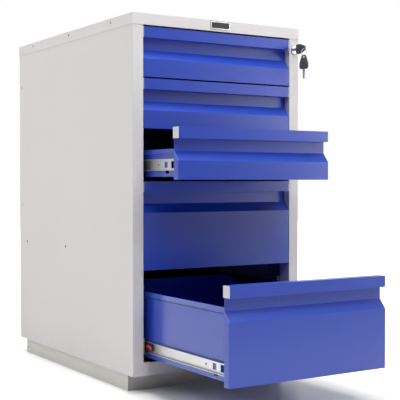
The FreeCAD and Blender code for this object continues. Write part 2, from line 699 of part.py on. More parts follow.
# Slides. Each has three rolled channels, one inside the other, with balls between their flanges.
# Distances named set run from the upright towards the drawer box.
def channel(label, sign, web, way, tip, half_height, start, length, height):
    """A slide member: web and tip are sets, the flanges' free edges lie at the tip, way is 1 or -1."""
    body = new_body(label, y=start, z=height)
    section = new_sketch(body, "XZ_Plane")
    inner_web = f"({web} + {way} * slide_steel)"

    def across(distance):
        return f"{sign} * (opening_half - {distance})"

    add_outline(section, [
        (across(web), f"-1 * {half_height}"),
        (across(tip), f"-1 * {half_height}"),
        (across(tip), f"-1 * {half_height} + slide_steel"),
        (across(inner_web), f"-1 * {half_height} + slide_steel"),
        (across(inner_web), f"{half_height} - slide_steel"),
        (across(tip), f"{half_height} - slide_steel"),
        (across(tip), f"{half_height}"),
        (across(web), f"{half_height}"),
    ])
    pad(body, section, length, backwards=True)
    return body


cabinet_members = []
for drawer in DRAWERS:
    for side_name, side_sign in SIDES.items():
        cabinet_members.append(channel(
            f"{drawer.name}_cabinet_member_{side_name}",
            side_sign,
            web="0",
            way=1,
            tip="cabinet_member_depth",
            half_height="cabinet_member_height / 2",
            start="slide_front",
            length="cabinet_member_length",
            height=drawer.slide_height,
        ))
keep(together("cabinet_slide_members", cabinet_members), "cabinet_slide_members")


def middle_member(drawer, side, sign):
    """The member between the other two, which carries the drawer half of the way out."""
    return channel(
        f"{drawer.name}_middle_member_{side}",
        sign,
        web="middle_member_set",
        way=1,
        tip="middle_tip",
        half_height="middle_half",
        start=f"slide_front - {drawer.middle_pull}",
        length="middle_member_length",
        height=drawer.slide_height,
    )


def drawer_member(drawer, side, sign):
    """The member on the box side, with its rivet hole, slot, end window and lever pin."""
    start = f"(slide_front - {drawer.pull})"
    body = channel(
        f"{drawer.name}_drawer_member_{side}",
        sign,
        web="slide_thickness",
        way=-1,
        tip="drawer_tip",
        half_height="drawer_half",
        start=start,
        length="drawer_member_length",
        height=drawer.slide_height,
    )
    face = "(face_plane - slide_front)"
    web = f"{sign} * (opening_half - slide_thickness + slide_steel / 2)"
    holes = new_sketch(body, "YZ_Plane", web)
    add_circle(holes, f"{face} + member_hole_set", "0", "member_hole_radius")
    for set_name, long_name, tall_name in (
        ("member_slot_set", "member_slot_length", "member_slot_height"),
        ("member_window_set", "member_window_length", "member_window_height"),
    ):
        add_rectangle(
            holes,
            f"{face} + {set_name}",
            f"{face} + {set_name} + {long_name}",
            f"-1 * {tall_name} / 2",
            f"{tall_name} / 2",
        )
    pocket(body, holes, "2 * slide_steel", both_ways=True)
    pin = new_sketch(body, "YZ_Plane", f"{sign} * (opening_half - slide_thickness + slide_steel)")
    add_circle(pin, f"{face} + lever_set", "0", "lever_pin_radius")
    pad(body, pin, "lever_side_gap + lever_thickness - lever_pin_gap", backwards=(sign < 0))
    return body


def ball_cage(drawer, side, sign, stage):
    """One cage, a channel with round holes in its legs, and the balls that it carries."""
    inner = stage == "inner"
    height = f"{stage}_ball_height"
    radius = f"{stage}_ball_radius"
    ball_set = f"{stage}_ball_set"
    web = "(middle_web_inside + cage_clearance)" if inner else "(slide_steel + cage_clearance)"
    tip = "(middle_tip - cage_leg_gap)" if inner else "(cabinet_member_depth - cage_leg_gap)"
    pull = drawer.inner_cage_pull if inner else drawer.outer_cage_pull
    start = f"(box_front + cage_set - {pull})"
    label = f"{drawer.name}_{stage}_cage_{side}"
    body = new_body(label, y=start, z=drawer.slide_height)
    section = new_sketch(body, "XZ_Plane")

    def across(distance):
        return f"{sign} * (opening_half - {distance})"

    leg_top = f"({height} + cage_sheet / 2)"
    leg_foot = f"({height} - cage_sheet / 2)"
    add_outline(section, [
        (across(web), f"-1 * {leg_top}"),
        (across(tip), f"-1 * {leg_top}"),
        (across(tip), f"-1 * {leg_foot}"),
        (across(f"({web} + cage_sheet)"), f"-1 * {leg_foot}"),
        (across(f"({web} + cage_sheet)"), leg_foot),
        (across(tip), leg_foot),
        (across(tip), leg_top),
        (across(web), leg_top),
    ])
    pad(body, section, "cage_length", backwards=True)
    holes = new_sketch(body, "XY_Plane")
    balls = []
    for step in (-2, -1, 0, 1, 2):
        along = f"(cage_length / 2 + {step} * ball_pitch)"
        add_circle(holes, across(ball_set), along, f"{radius} + cage_hole_clearance")
        for row in (-1, 1):
            ball = doc.addObject("Part::Sphere", f"{label}_ball")
            ball.setExpression("Radius", bound(radius))
            place(ball, across(ball_set), f"{start} + {along}", f"{drawer.slide_height} + {row} * {height}")
            balls.append(ball)
    pocket(body, holes, "cabinet_member_height", both_ways=True)
    return [body] + balls


# Release levers: a moulded lever lies in the drawer member's channel and turns on its pin
def release_lever(drawer, side, sign):
    """The lever with the raised tongue that a finger pushes."""
    body = new_body(
        f"{drawer.name}_release_lever_{side}",
        y=f"face_plane - {drawer.pull} + lever_set",
        z=drawer.slide_height,
    )
    near_web = f"{sign} * (opening_half - slide_thickness + slide_steel + lever_side_gap)"
    outline = new_sketch(body, "YZ_Plane", near_web)
    add_outline(outline, [
        ("-1 * lever_length / 2", "-1 * lever_nose / 2"),
        ("-1 * lever_length / 4", "-1 * lever_height / 2"),
        ("lever_length / 4", "-1 * lever_height / 2"),
        ("lever_length / 2", "-1 * lever_nose / 2"),
        ("lever_length / 2", "lever_nose / 2"),
        ("lever_length / 4", "lever_height / 2"),
        ("-1 * lever_length / 4", "lever_height / 2"),
        ("-1 * lever_length / 2", "lever_nose / 2"),
    ])
    add_circle(outline, "0", "0", "lever_pin_radius + running_clearance")
    pad(body, outline, "lever_thickness", backwards=(sign < 0))
    tongue = new_sketch(body, "YZ_Plane", f"{near_web} + {sign} * lever_thickness")
    add_rectangle(
        tongue,
        "-1 * lever_tongue_set - lever_tongue_length / 2",
        "-1 * lever_tongue_set + lever_tongue_length / 2",
        "-1 * lever_tongue_height / 2",
        "lever_tongue_height / 2",
    )
    pad(body, tongue, "lever_tongue_rise", backwards=(sign < 0))
    return body


# Drawer fronts. A hollow lip runs along the top, a finger groove and a slope lie below it.
# The skin folds back under the face and up behind it, and an end plate closes each end.
def drawer_front(drawer):
    top = f"({drawer.height})"
    lip_foot = f"({top} - lip_height)"
    groove_foot = f"({lip_foot} - groove_height)"
    slope_foot = f"({groove_foot} - slope_height)"
    body = new_body(f"{drawer.name}_front", y=f"face_plane - {drawer.pull}", z=drawer.bottom)

    lip = new_sketch(body, "YZ_Plane")
    add_rectangle(lip, "0", "lip_depth", lip_foot, top)
    add_rectangle(
        lip,
        "front_sheet",
        "lip_depth - front_sheet",
        f"{lip_foot} + front_sheet",
        f"{top} - front_sheet",
    )
    pad(body, lip, "2 * (front_half - cap_plate)", both_ways=True)

    skin = new_sketch(body, "YZ_Plane")
    add_outline(skin, [
        ("groove_depth", lip_foot),
        ("groove_depth", groove_foot),
        ("0", slope_foot),
        ("0", "0"),
        ("front_depth", "0"),
        ("front_depth", f"{groove_foot} - back_plate_drop"),
        ("front_depth - front_sheet", f"{groove_foot} - back_plate_drop"),
        ("front_depth - front_sheet", "front_sheet"),
        ("front_sheet", "front_sheet"),
        ("front_sheet", f"{slope_foot} - slope_lap"),
        ("groove_depth + front_sheet", f"{groove_foot} - slope_lap"),
        ("groove_depth + front_sheet", lip_foot),
    ])
    pad(body, skin, "2 * front_half", both_ways=True)

    for sign in (-1, 1):
        end_plate = new_sketch(body, "YZ_Plane", f"{sign} * front_half")
        add_outline(end_plate, [
            ("front_sheet + corner_seam", "front_sheet"),
            ("front_depth", "front_sheet"),
            ("front_depth", f"{groove_foot} - slope_lap"),
            ("groove_depth + front_sheet + corner_seam", f"{groove_foot} - slope_lap"),
            ("front_sheet + corner_seam", f"{slope_foot} - slope_lap"),
        ])
        pad(body, end_plate, "front_sheet", backwards=(sign > 0))
    return body


# End caps: a moulded plate on each end of the lip, with a hollow plug inside it
def end_cap(drawer, side, sign):
    body = new_body(
        f"{drawer.name}_end_cap_{side}",
        y=f"face_plane - {drawer.pull}",
        z=f"{drawer.bottom} + {drawer.height} - lip_height",
    )
    plate = new_sketch(body, "YZ_Plane", f"{sign} * front_half")
    add_rectangle(plate, "0", "lip_depth", "0", "lip_height")
    pad(body, plate, "cap_plate", backwards=(sign > 0))
    plug = new_sketch(body, "YZ_Plane", f"{sign} * (front_half - cap_plate)")
    gap = "(front_sheet + cap_clearance)"
    add_rectangle(plug, gap, f"lip_depth - {gap}", gap, f"lip_height - {gap}")
    wall = f"({gap} + 2 * cap_plate)"
    add_rectangle(plug, wall, f"lip_depth - {wall}", wall, f"lip_height - {wall}")
    pad(body, plug, "cap_plug", backwards=(sign > 0))
    return body


# Drawer boxes: a floor sheet between two walls and two sides. A side has an open hem along
# the top, a slot beside its slide and a window behind the window of its slide. A lug
# welded to the right hem is what the lock bar's hook stops.
def box_side(drawer, side, sign, start, deep):
    """One side with its hem, slot and window."""
    body = new_body(f"{drawer.name}_box_{side}", y=start, z=f"{drawer.bottom} + box_rise")
    section = new_sketch(body, "XZ_Plane")
    add_outline(section, [
        (f"{sign} * (box_half - box_sheet)", "0"),
        (f"{sign} * box_half", "0"),
        (f"{sign} * box_half", f"{deep} - hem_height"),
        (f"{sign} * (box_half + hem_foot)", f"{deep} - hem_height"),
        (f"{sign} * (box_half + hem_head)", deep),
        (f"{sign} * (box_half - box_sheet)", deep),
    ])
    pad(body, section, "box_length", backwards=True)

    holes = new_sketch(body, "YZ_Plane", f"{sign} * box_half")
    add_rectangle(
        holes,
        "hook_slot_set - front_depth",
        "hook_slot_set - front_depth + hook_slot_length",
        "hook_slot_rise",
        "hook_slot_rise + hook_slot_height",
    )
    window_front = "(member_window_set - front_depth)"
    window_half = "(member_window_height / 2 + wall_window_margin)"
    add_rectangle(
        holes,
        f"{window_front} - wall_window_margin",
        f"{window_front} + member_window_length + wall_window_margin",
        f"slide_rise - box_rise - {window_half}",
        f"slide_rise - box_rise + {window_half}",
    )
    pocket(body, holes, "4 * box_sheet", both_ways=True)
    return body


def drawer_box(drawer):
    deep = f"({drawer.height} - box_drop - box_rise)"
    start = f"(box_front - {drawer.pull})"
    foot = f"{drawer.bottom} + box_rise"
    inner_half = "(box_half - box_sheet)"
    sheets = [box_side(drawer, side, sign, start, deep) for side, sign in SIDES.items()]
    for name, place_back, length, height in (
        ("front_wall", "0", "box_sheet", deep),
        ("back_wall", "box_length - box_sheet", "box_sheet", deep),
        ("floor", "box_sheet", "box_length - 2 * box_sheet", "box_sheet"),
    ):
        sheets.append(box(
            f"{drawer.name}_box_{name}",
            f"-1 * {inner_half}",
            f"{start} + {place_back}",
            foot,
            f"2 * {inner_half}",
            length,
            height,
        ))

    hem_edge = "(box_half + hem_head + (hem_foot - hem_head) * lug_height / hem_height)"
    lug = new_body(f"{drawer.name}_lock_lug", y=f"{start} + lug_front - box_front", z=foot)
    lug_section = new_sketch(lug, "XZ_Plane")
    add_outline(lug_section, [
        (hem_edge, f"{deep} - lug_height"),
        ("box_half + lug_reach", f"{deep} - lug_height"),
        ("box_half + lug_reach", deep),
        ("box_half + hem_head", deep),
    ])
    pad(lug, lug_section, "lug_length", backwards=True)
    return together(f"{drawer.name}_box", sheets + [lug])


def pair(drawer, name, maker):
    """A sub-part with one solid on each side of the drawer."""
    label = f"{drawer.name}_{name}"
    keep(together(label, [maker(drawer, side, sign) for side, sign in SIDES.items()]), label)


for drawer in DRAWERS:
    keep(drawer_front(drawer), f"{drawer.name}_front")
    keep(drawer_box(drawer), f"{drawer.name}_box")
    pair(drawer, "end_caps", end_cap)
    pair(drawer, "drawer_slide_members", drawer_member)
    pair(drawer, "middle_slide_members", middle_member)
    pair(drawer, "release_levers", release_lever)
    for stage in ("inner", "outer"):
        cage_solids = []
        for side_name, side_sign in SIDES.items():
            cage_solids.extend(ball_cage(drawer, side_name, side_sign, stage))
        keep(together(f"{drawer.name}_{stage}_ball_cages", cage_solids), f"{drawer.name}_{stage}_ball_cages")


# Lock housing: flange and barrel in the right post, and the hexagonal nut behind the sheet
housing = new_body("lock_barrel", x="lock_middle", y="front_plane", z="lock_height")
flange_sketch = new_sketch(housing, "XZ_Plane")
add_circle(flange_sketch, "0", "0", "lock_flange_radius")
add_circle(flange_sketch, "0", "0", "plug_radius + running_clearance")
pad(housing, flange_sketch, "lock_flange_thickness")
barrel_sketch = new_sketch(housing, "XZ_Plane")
add_circle(barrel_sketch, "0", "0", "lock_barrel_radius")
add_circle(barrel_sketch, "0", "0", "plug_radius + running_clearance")
pad(housing, barrel_sketch, "lock_barrel_length", backwards=True)
nut = new_body("lock_nut", x="lock_middle", y="front_plane + sheet", z="lock_height")
nut_sketch = new_sketch(nut, "XZ_Plane")
nut_corner = "(lock_nut_across / 2 / cos(30))"
add_outline(nut_sketch, [
    (f"{nut_corner} * cos({angle})", f"{nut_corner} * sin({angle})") for angle in range(30, 390, 60)
])
add_circle(nut_sketch, "0", "0", "lock_barrel_radius + running_clearance")
pad(nut, nut_sketch, "lock_nut_thickness", backwards=True)
keep(together("lock_housing", [housing, nut]), "lock_housing")


# Lock plug with its keyway, open to the front
plug = new_body("lock_plug", x="lock_middle", y="front_plane - lock_flange_thickness + plug_recess", z="lock_height")
plug_sketch = new_sketch(plug, "XZ_Plane")
add_circle(plug_sketch, "0", "0", "plug_radius")
pad(plug, plug_sketch, "lock_flange_thickness - plug_recess + lock_barrel_length + plug_tail", backwards=True)
keyway = new_sketch(plug, "XZ_Plane")
keyway_half = "(key_blade_thickness / 2 + keyway_clearance)"
keyway_reach = "(key_blade_width / 2 + keyway_clearance)"
add_rectangle(keyway, f"-1 * {keyway_half}", keyway_half, f"-1 * {keyway_reach}", keyway_reach)
pocket(plug, keyway, "keyway_depth")
keep(plug, "lock_plug")


# Cam on the plug's inner end. Its pin stands up and to the left while the lock is open.
cam = new_body("lock_cam", x="lock_middle", y="plug_end", z="lock_height")
cam_sketch = new_sketch(cam, "XZ_Plane")
add_circle(cam_sketch, "0", "0", "cam_hub_radius")
pad(cam, cam_sketch, "cam_thickness", backwards=True)
arm_sketch = new_sketch(cam, "XZ_Plane")
arm_half = "((crank_pin_radius + crank_pin_wall) * sin(45))"
add_outline(arm_sketch, [
    (f"{arm_half}", f"{arm_half}"),
    (f"-1 * {arm_half}", f"-1 * {arm_half}"),
    (f"-1 * crank_offset - {arm_half}", f"crank_offset - {arm_half}"),
    (f"-1 * crank_offset + {arm_half}", f"crank_offset + {arm_half}"),
])
pad(cam, arm_sketch, "cam_thickness", backwards=True)
arm_end_sketch = new_sketch(cam, "XZ_Plane")
add_circle(arm_end_sketch, "-1 * crank_offset", "crank_offset", "crank_pin_radius + crank_pin_wall")
pad(cam, arm_end_sketch, "cam_thickness", backwards=True)
pin_sketch = new_sketch(cam, "XZ_Plane")
add_circle(pin_sketch, "-1 * crank_offset", "crank_offset", "crank_pin_radius")
pad(cam, pin_sketch, "cam_thickness + crank_pin_length", backwards=True)
keep(cam, "lock_cam")


# Lock bar: a flat bar with a slotted head for the cam's pin and one hook for each drawer
pin_height = "(lock_height + crank_offset)"
arm_front = "(bar_front - bar_arm_reach)"
bar = new_body("lock_bar")
bar_sketch = new_sketch(bar, "XY_Plane", "bar_foot")
add_rectangle(bar_sketch, "bar_inside", "bar_outside", "bar_front", "bar_back")
pad(bar, bar_sketch, f"{pin_height} + bar_arm_height / 2 - bar_foot")
head_sketch = new_sketch(bar, "XY_Plane", f"{pin_height} - bar_arm_height / 2")
add_outline(head_sketch, [
    ("bar_inside", "bar_back"),
    ("bar_inside", arm_front),
    ("bar_inside + bar_arm_width", arm_front),
    ("bar_inside + bar_arm_width", f"{arm_front} + bar_thickness"),
    ("bar_outside", f"{arm_front} + bar_thickness"),
    ("bar_outside", "bar_back"),
])
pad(bar, head_sketch, "bar_arm_height")
pin_room = "(crank_pin_radius + crank_slot_clearance)"
slot_sketch = new_sketch(bar, "XZ_Plane", f"-1 * {arm_front}")
add_rectangle(
    slot_sketch,
    f"lock_middle - crank_radius - {pin_room}",
    f"lock_middle - crank_offset + {pin_room}",
    f"{pin_height} - {pin_room}",
    f"{pin_height} + {pin_room}",
)
pocket(bar, slot_sketch, "bar_thickness + 1")
for drawer in DRAWERS:
    hook_sketch = new_sketch(bar, "XY_Plane", f"{drawer.box_top} + bar_hook_gap")
    add_rectangle(
        hook_sketch,
        "bar_inside - bar_hook_reach",
        "bar_inside",
        "bar_front",
        "bar_front + bar_thickness",
    )
    pad(bar, hook_sketch, "bar_hook_height")
keep(bar, "lock_bar")


# Keys. Each is drawn lying along +X from the face of its head, then turned and placed.
KEY_CUTS = ["key_shallow_cut", "key_deep_cut", "key_shallow_cut", "key_deep_cut"]


def key_head(label):
    """The moulded head, wide near the blade and narrow at its ring hole, slotted for the blade."""
    body = new_body(label)
    outline = new_sketch(body, "XY_Plane")
    half_outline = [
        ("0", "key_head_foot / 2"),
        ("-1 * key_head_bevel", "key_head_width / 2"),
        ("-1 * key_head_bevel - key_head_flank", "key_head_width / 2"),
        ("-1 * key_head_length + key_head_tip_length", "key_head_neck / 2"),
        ("-1 * key_head_length", "key_head_tip / 2"),
    ]
    mirrored = [(along, f"-1 * ({across})") for along, across in reversed(half_outline)]
    add_outline(outline, half_outline + mirrored)
    blank = pad(body, outline, "key_head_thickness", both_ways=True)
    corners = []
    for number, edge in enumerate(blank.Shape.Edges, start=1):
        if edge.BoundBox.ZLength > 0.9 * edge.Length:
            corners.append(f"Edge{number}")
    rounded = body.newObject("PartDesign::Fillet", body.Name + "_corners")
    rounded.Base = (blank, corners)
    rounded.setExpression("Radius", bound("key_head_round"))
    doc.recompute()
    ring_hole = new_sketch(body, "XY_Plane")
    add_circle(ring_hole, "-1 * key_head_length + key_ring_hole_edge", "0", "key_ring_hole_radius")
    pocket(body, ring_hole, "2 * key_head_thickness", both_ways=True)
    tang = new_sketch(body, "XY_Plane")
    add_rectangle(tang, "-1 * key_tang", "0", "-1 * key_blade_width / 2", "key_blade_width / 2")
    pocket(body, tang, "key_blade_thickness", both_ways=True)
    return body


def key_blade(label):
    """The flat steel blade with its shoulder, its pointed tip and its row of cuts."""
    body = new_body(label)
    outline = new_sketch(body, "XY_Plane")
    points = [
        ("-1 * key_tang", "-1 * key_blade_width / 2"),
        ("key_blade_length - key_point_length", "-1 * key_blade_width / 2"),
        ("key_blade_length", "-1 * key_point_width / 2"),
        ("key_blade_length", "key_point_width / 2"),
        ("key_blade_length - key_point_length", "key_blade_width / 2"),
    ]
    cut_pitch = f"((key_blade_length - key_shoulder - key_point_length) / {len(KEY_CUTS)})"
    for step, depth in reversed(list(enumerate(KEY_CUTS))):
        points.append((f"key_shoulder + {step + 0.5} * {cut_pitch}", f"key_blade_width / 2 - {depth}"))
        points.append((f"key_shoulder + {step} * {cut_pitch}", "key_blade_width / 2"))
    points.append(("-1 * key_tang", "key_blade_width / 2"))
    add_outline(outline, points)
    pad(body, outline, "key_blade_thickness", both_ways=True)
    return body


def set_key(obj, rotation, x, y, z):
    """Turn a key's piece, then bind its place."""
    obj.Placement = FreeCAD.Placement(FreeCAD.Vector(0, 0, 0), rotation)
    place(obj, x, y, z)


X_AXIS = FreeCAD.Vector(1, 0, 0)
Y_AXIS = FreeCAD.Vector(0, 1, 0)
Z_AXIS = FreeCAD.Vector(0, 0, 1)
spare_turn = float(sheet.get("spare_key_turn"))
ring_turn = float(sheet.get("ring_turn"))

# The key in the lock points backwards and its flat sides face left and right
in_lock = FreeCAD.Rotation(Z_AXIS, 90).multiply(FreeCAD.Rotation(X_AXIS, 90))
# The spare key hangs with its blade down and is turned a little about the upright
hanging = FreeCAD.Rotation(Z_AXIS, spare_turn).multiply(
    FreeCAD.Rotation(Y_AXIS, 90)
)

for label, maker in (("key_head", key_head), ("key_blade", key_blade)):
    piece = maker(label)
    set_key(piece, in_lock, "lock_middle", "blade_face", "lock_height")
    keep(piece, label)
for label, maker in (("spare_key_head", key_head), ("spare_key_blade", key_blade)):
    piece = maker(label)
    set_key(piece, hanging, "lock_middle", "ring_hole_plane", "spare_blade_face")
    keep(piece, label)

ring = doc.addObject("Part::Torus", "key_ring")
ring.setExpression("Radius1", bound("ring_radius"))
ring.setExpression("Radius2", bound("ring_wire_radius"))
upright_ring = FreeCAD.Rotation(Z_AXIS, ring_turn).multiply(FreeCAD.Rotation(X_AXIS, 90))
ring.Placement = FreeCAD.Placement(FreeCAD.Vector(0, 0, 0), upright_ring)
place(ring, "lock_middle", "ring_hole_plane", "ring_middle_height")
keep(ring, "key_ring")


# Badge: a plain plate on the lid's front skirt
badge = box(
    "badge_plate",
    "-1 * badge_width / 2",
    "front_plane - sheet - badge_thickness",
    "body_top - badge_top_set - badge_height / 2",
    "badge_width",
    "badge_thickness",
    "badge_height",
)
keep(badge, "badge_plate")


# Screws and rivets of the body: a low round head outside the sheet and a shank through it
def fastener(label, sign, surface, y, z):
    outward = FreeCAD.Vector(sign, 0, 0)
    inward = FreeCAD.Vector(-sign, 0, 0)
    head = rod(f"{label}_head", f"{sign} * {surface}", y, z, "screw_head_radius", "screw_head_height", outward)
    shank = rod(f"{label}_shank", f"{sign} * {surface}", y, z, "screw_shank_radius", "screw_shank_length", inward)
    return joined(label, [head, shank])


fasteners = []
for side_name, side_sign in SIDES.items():
    for y, z in side_screw_places():
        fasteners.append(fastener(f"side_screw_{side_name}", side_sign, "half_width", y, z))
    for y, z in lid_rivet_places():
        fasteners.append(fastener(f"lid_rivet_{side_name}", side_sign, "(half_width + sheet)", y, z))
    fasteners.append(fastener(
        f"plinth_screw_{side_name}",
        side_sign,
        plinth_half,
        "back_plane - plinth_screw_set",
        "plinth_screw_rise",
    ))
keep(together("cabinet_screws", fasteners), "cabinet_screws")

doc.recompute()

# Nothing is written unless every object is sound
for obj in doc.Objects:
    if "Invalid" in obj.State or "Error" in obj.State:
        raise RuntimeError(f"{obj.Name} failed: {obj.State}")
for obj in sub_parts:
    if obj.Shape.isNull() or not obj.Shape.isValid():
        raise RuntimeError(f"{obj.Label} has no valid shape")

for obj in sub_parts:
    obj.Shape.exportStep(f"parts/{obj.Label}.step")
    bounds = obj.Shape.BoundBox
    print(
        f"{obj.Label}: {len(obj.Shape.Solids)} solids, {obj.Shape.Volume:.1f} mm3,"
        f" x {bounds.XMin:.1f} to {bounds.XMax:.1f},"
        f" y {bounds.YMin:.1f} to {bounds.YMax:.1f},"
        f" z {bounds.ZMin:.1f} to {bounds.ZMax:.1f}"
    )
print(len(sub_parts), "sub-parts")
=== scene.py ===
import bmesh
import bpy
import math
from mathutils import Matrix, Vector


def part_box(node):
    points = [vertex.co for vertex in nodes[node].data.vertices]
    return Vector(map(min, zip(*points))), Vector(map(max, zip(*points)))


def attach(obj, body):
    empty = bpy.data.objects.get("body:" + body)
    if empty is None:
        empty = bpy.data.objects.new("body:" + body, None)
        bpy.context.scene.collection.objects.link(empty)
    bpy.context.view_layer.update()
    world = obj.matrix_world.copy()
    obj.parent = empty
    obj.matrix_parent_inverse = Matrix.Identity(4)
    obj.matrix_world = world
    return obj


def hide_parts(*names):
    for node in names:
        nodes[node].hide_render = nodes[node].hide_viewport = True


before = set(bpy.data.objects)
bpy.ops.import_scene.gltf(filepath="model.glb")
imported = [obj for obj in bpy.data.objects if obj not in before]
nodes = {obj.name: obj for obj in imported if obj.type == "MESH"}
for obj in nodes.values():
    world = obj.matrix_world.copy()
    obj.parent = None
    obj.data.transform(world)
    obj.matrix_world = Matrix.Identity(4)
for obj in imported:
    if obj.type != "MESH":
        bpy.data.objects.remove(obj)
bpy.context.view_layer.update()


# Side panels. Each is one sheet of 1 mm steel, folded into skin, front post and the post's inner
# flange on a press brake, then sprayed with a fine-textured light grey powder and baked.
BODY_GREY = (0.650, 0.628, 0.624)
BODY_BARE = (0.80, 0.795, 0.785)
BODY_PEEL = 0.00012
SIDE_BEND = 0.0009
FLOAT, COLOUR = "NodeSocketFloat", "NodeSocketColor"
NOISE_SPAN = (0.3, 0.7)
BOTH_WAYS = (-1.0, 1.0)


def put_node(tree, kind, **settings):
    """A shader node. A setting that starts with set_ is one of the node's own fields. Any other is
    a socket, by name or as in0, in1 by number, with its value or the socket to link to it."""
    made = tree.nodes.new(kind)
    for key in [key for key in settings if key.startswith("set_")]:
        setattr(made, key.removeprefix("set_"), settings.pop(key))
    for key, value in settings.items():
        number = key.removeprefix("in")
        socket = made.inputs[int(number) if number.isdigit() else key]
        if isinstance(value, bpy.types.NodeSocket):
            tree.links.new(value, socket)
        else:
            socket.default_value = value
    return made


def feed(tree, node, **sockets):
    """Link sockets to a node's inputs by name."""
    for name, socket in sockets.items():
        tree.links.new(socket, node.inputs[name])


def math_node(tree, operation, first, second=0.0):
    """The result of one operation on two values."""
    return put_node(tree, "ShaderNodeMath", set_operation=operation, in0=first, in1=second).outputs[0]


def plus(tree, first, second):
    """The sum of two values."""
    return math_node(tree, "ADD", first, second)


def times(tree, first, second):
    """The product of two values."""
    return math_node(tree, "MULTIPLY", first, second)


def mix_colour(tree, share, first, second, blend="MIX"):
    """Two colours mixed by a share. The Mix node's colour sockets go by number."""
    first, second = [(*colour, 1.0) if isinstance(colour, tuple) else colour for colour in (first, second)]
    return put_node(tree, "ShaderNodeMix", set_data_type="RGBA", set_blend_type=blend,
                    in0=share, in6=first, in7=second).outputs[2]


def even_grey(tree, level):
    """The grey of one level."""
    return put_node(tree, "ShaderNodeCombineColor", in0=level, in1=level, in2=level).outputs[0]


def own_place(tree):
    """The place on a piece, in metres."""
    return put_node(tree, "ShaderNodeTexCoord").outputs["Object"]


def axis_of(tree, vector, axis):
    """One axis of a place or a direction."""
    return put_node(tree, "ShaderNodeSeparateXYZ", Vector=vector).outputs[axis]


def noise(tree, where, scale, detail=2.0, roughness=0.5):
    """A noise value at a place."""
    return put_node(tree, "ShaderNodeTexNoise", Vector=where, Scale=scale, Detail=detail,
                    Roughness=roughness).outputs["Fac"]


def spread(tree, value, low, high, new_low=0.0, new_high=1.0):
    """A value stretched from one range to another and kept inside it."""
    return put_node(tree, "ShaderNodeMapRange", Value=value, **{
        "From Min": low, "From Max": high, "To Min": new_low, "To Max": new_high}).outputs["Result"]


def new_group(name, inputs, outputs):
    """An empty shader group with its sockets."""
    group = bpy.data.node_groups.new(name, "ShaderNodeTree")
    for socket_name, kind, value in inputs:
        socket = group.interface.new_socket(socket_name, in_out="INPUT", socket_type=kind)
        socket.default_value = value
    for socket_name, kind in outputs:
        group.interface.new_socket(socket_name, in_out="OUTPUT", socket_type=kind)
    return group, group.nodes.new("NodeGroupInput"), group.nodes.new("NodeGroupOutput")


# The fine orange peel of baked powder, with its slow drift in tone
SLOW_SHARE, CLOUD_SHARE = 0.6, 0.4
WAVE_HEIGHT = 1.6
powder, into, out = new_group(
    "powder_coat",
    [("Colour", COLOUR, (0.5, 0.5, 0.5, 1)), ("Peel size", FLOAT, 900.0), ("Drift", FLOAT, 0.05),
     ("Low roughness", FLOAT, 0.35), ("High roughness", FLOAT, 0.45)],
    [("Colour", COLOUR), ("Roughness", FLOAT), ("Height", FLOAT)],
)
here = own_place(powder)
slow = noise(powder, here, scale=3.2, detail=3.0)
cloud = noise(powder, here, scale=21.0, detail=4.0, roughness=0.6)
peel = noise(powder, here, scale=into.outputs["Peel size"], roughness=0.55)
wave = noise(powder, here, scale=160.0)
tone = plus(powder, times(powder, spread(powder, slow, *NOISE_SPAN, *BOTH_WAYS), SLOW_SHARE),
            times(powder, spread(powder, cloud, *NOISE_SPAN, *BOTH_WAYS), CLOUD_SHARE))
drifting = even_grey(powder, plus(powder, times(powder, tone, into.outputs["Drift"]), 1.0))
patches = spread(powder, cloud, *NOISE_SPAN, into.outputs["Low roughness"], into.outputs["High roughness"])
feed(powder, out, Roughness=patches,
     Colour=mix_colour(powder, 1.0, into.outputs["Colour"], drifting, "MULTIPLY"),
     Height=plus(powder, peel, times(powder, wave, WAVE_HEIGHT)))

# Edges that hands, rags and tools have rubbed lighter, broken up by noise
BEVEL_SAMPLES = 4
EDGE_TURN = (0.98, 0.80)
RUB_SPAN = (0.42, 0.62)
wear, into, out = new_group(
    "edge_wear",
    [("Colour", COLOUR, (0.5, 0.5, 0.5, 1)), ("Worn colour", COLOUR, (0.8, 0.8, 0.8, 1)),
     ("Radius", FLOAT, 0.0012), ("Amount", FLOAT, 0.5)],
    [("Colour", COLOUR)],
)
rounded = put_node(wear, "ShaderNodeBevel", set_samples=BEVEL_SAMPLES, Radius=into.outputs["Radius"])
flat = put_node(wear, "ShaderNodeNewGeometry")
turned = put_node(wear, "ShaderNodeVectorMath", set_operation="DOT_PRODUCT",
                  in0=rounded.outputs["Normal"], in1=flat.outputs["Normal"]).outputs["Value"]
broken = noise(wear, own_place(wear), scale=95.0, detail=4.0, roughness=0.65)
rubbed = times(wear, spread(wear, turned, *EDGE_TURN), spread(wear, broken, *RUB_SPAN))
feed(wear, out, Colour=mix_colour(wear, times(wear, rubbed, into.outputs["Amount"]),
                                  into.outputs["Colour"], into.outputs["Worn colour"]))

# Dust and scuffs, thicker low down and on what faces up
FACING_UP = (0.6, 1.0)
LYING_SHARE = 0.35
PATCH_SPAN = (0.35, 0.68)
dust, into, out = new_group(
    "dust",
    [("Colour", COLOUR, (0.5, 0.5, 0.5, 1)), ("Dust colour", COLOUR, (0.45, 0.42, 0.37, 1)),
     ("Amount", FLOAT, 0.2), ("Top", FLOAT, 0.12)],
    [("Colour", COLOUR), ("Mask", FLOAT)],
)
here = own_place(dust)
settled = spread(dust, axis_of(dust, here, "Z"), into.outputs["Top"], 0.0)
facing = put_node(dust, "ShaderNodeNewGeometry").outputs["Normal"]
lying = spread(dust, axis_of(dust, facing, "Z"), *FACING_UP, 0.0, LYING_SHARE)
patchy = spread(dust, noise(dust, here, scale=38.0, detail=5.0, roughness=0.65), *PATCH_SPAN)
mask = times(dust, times(dust, math_node(dust, "MAXIMUM", settled, lying), patchy), into.outputs["Amount"])
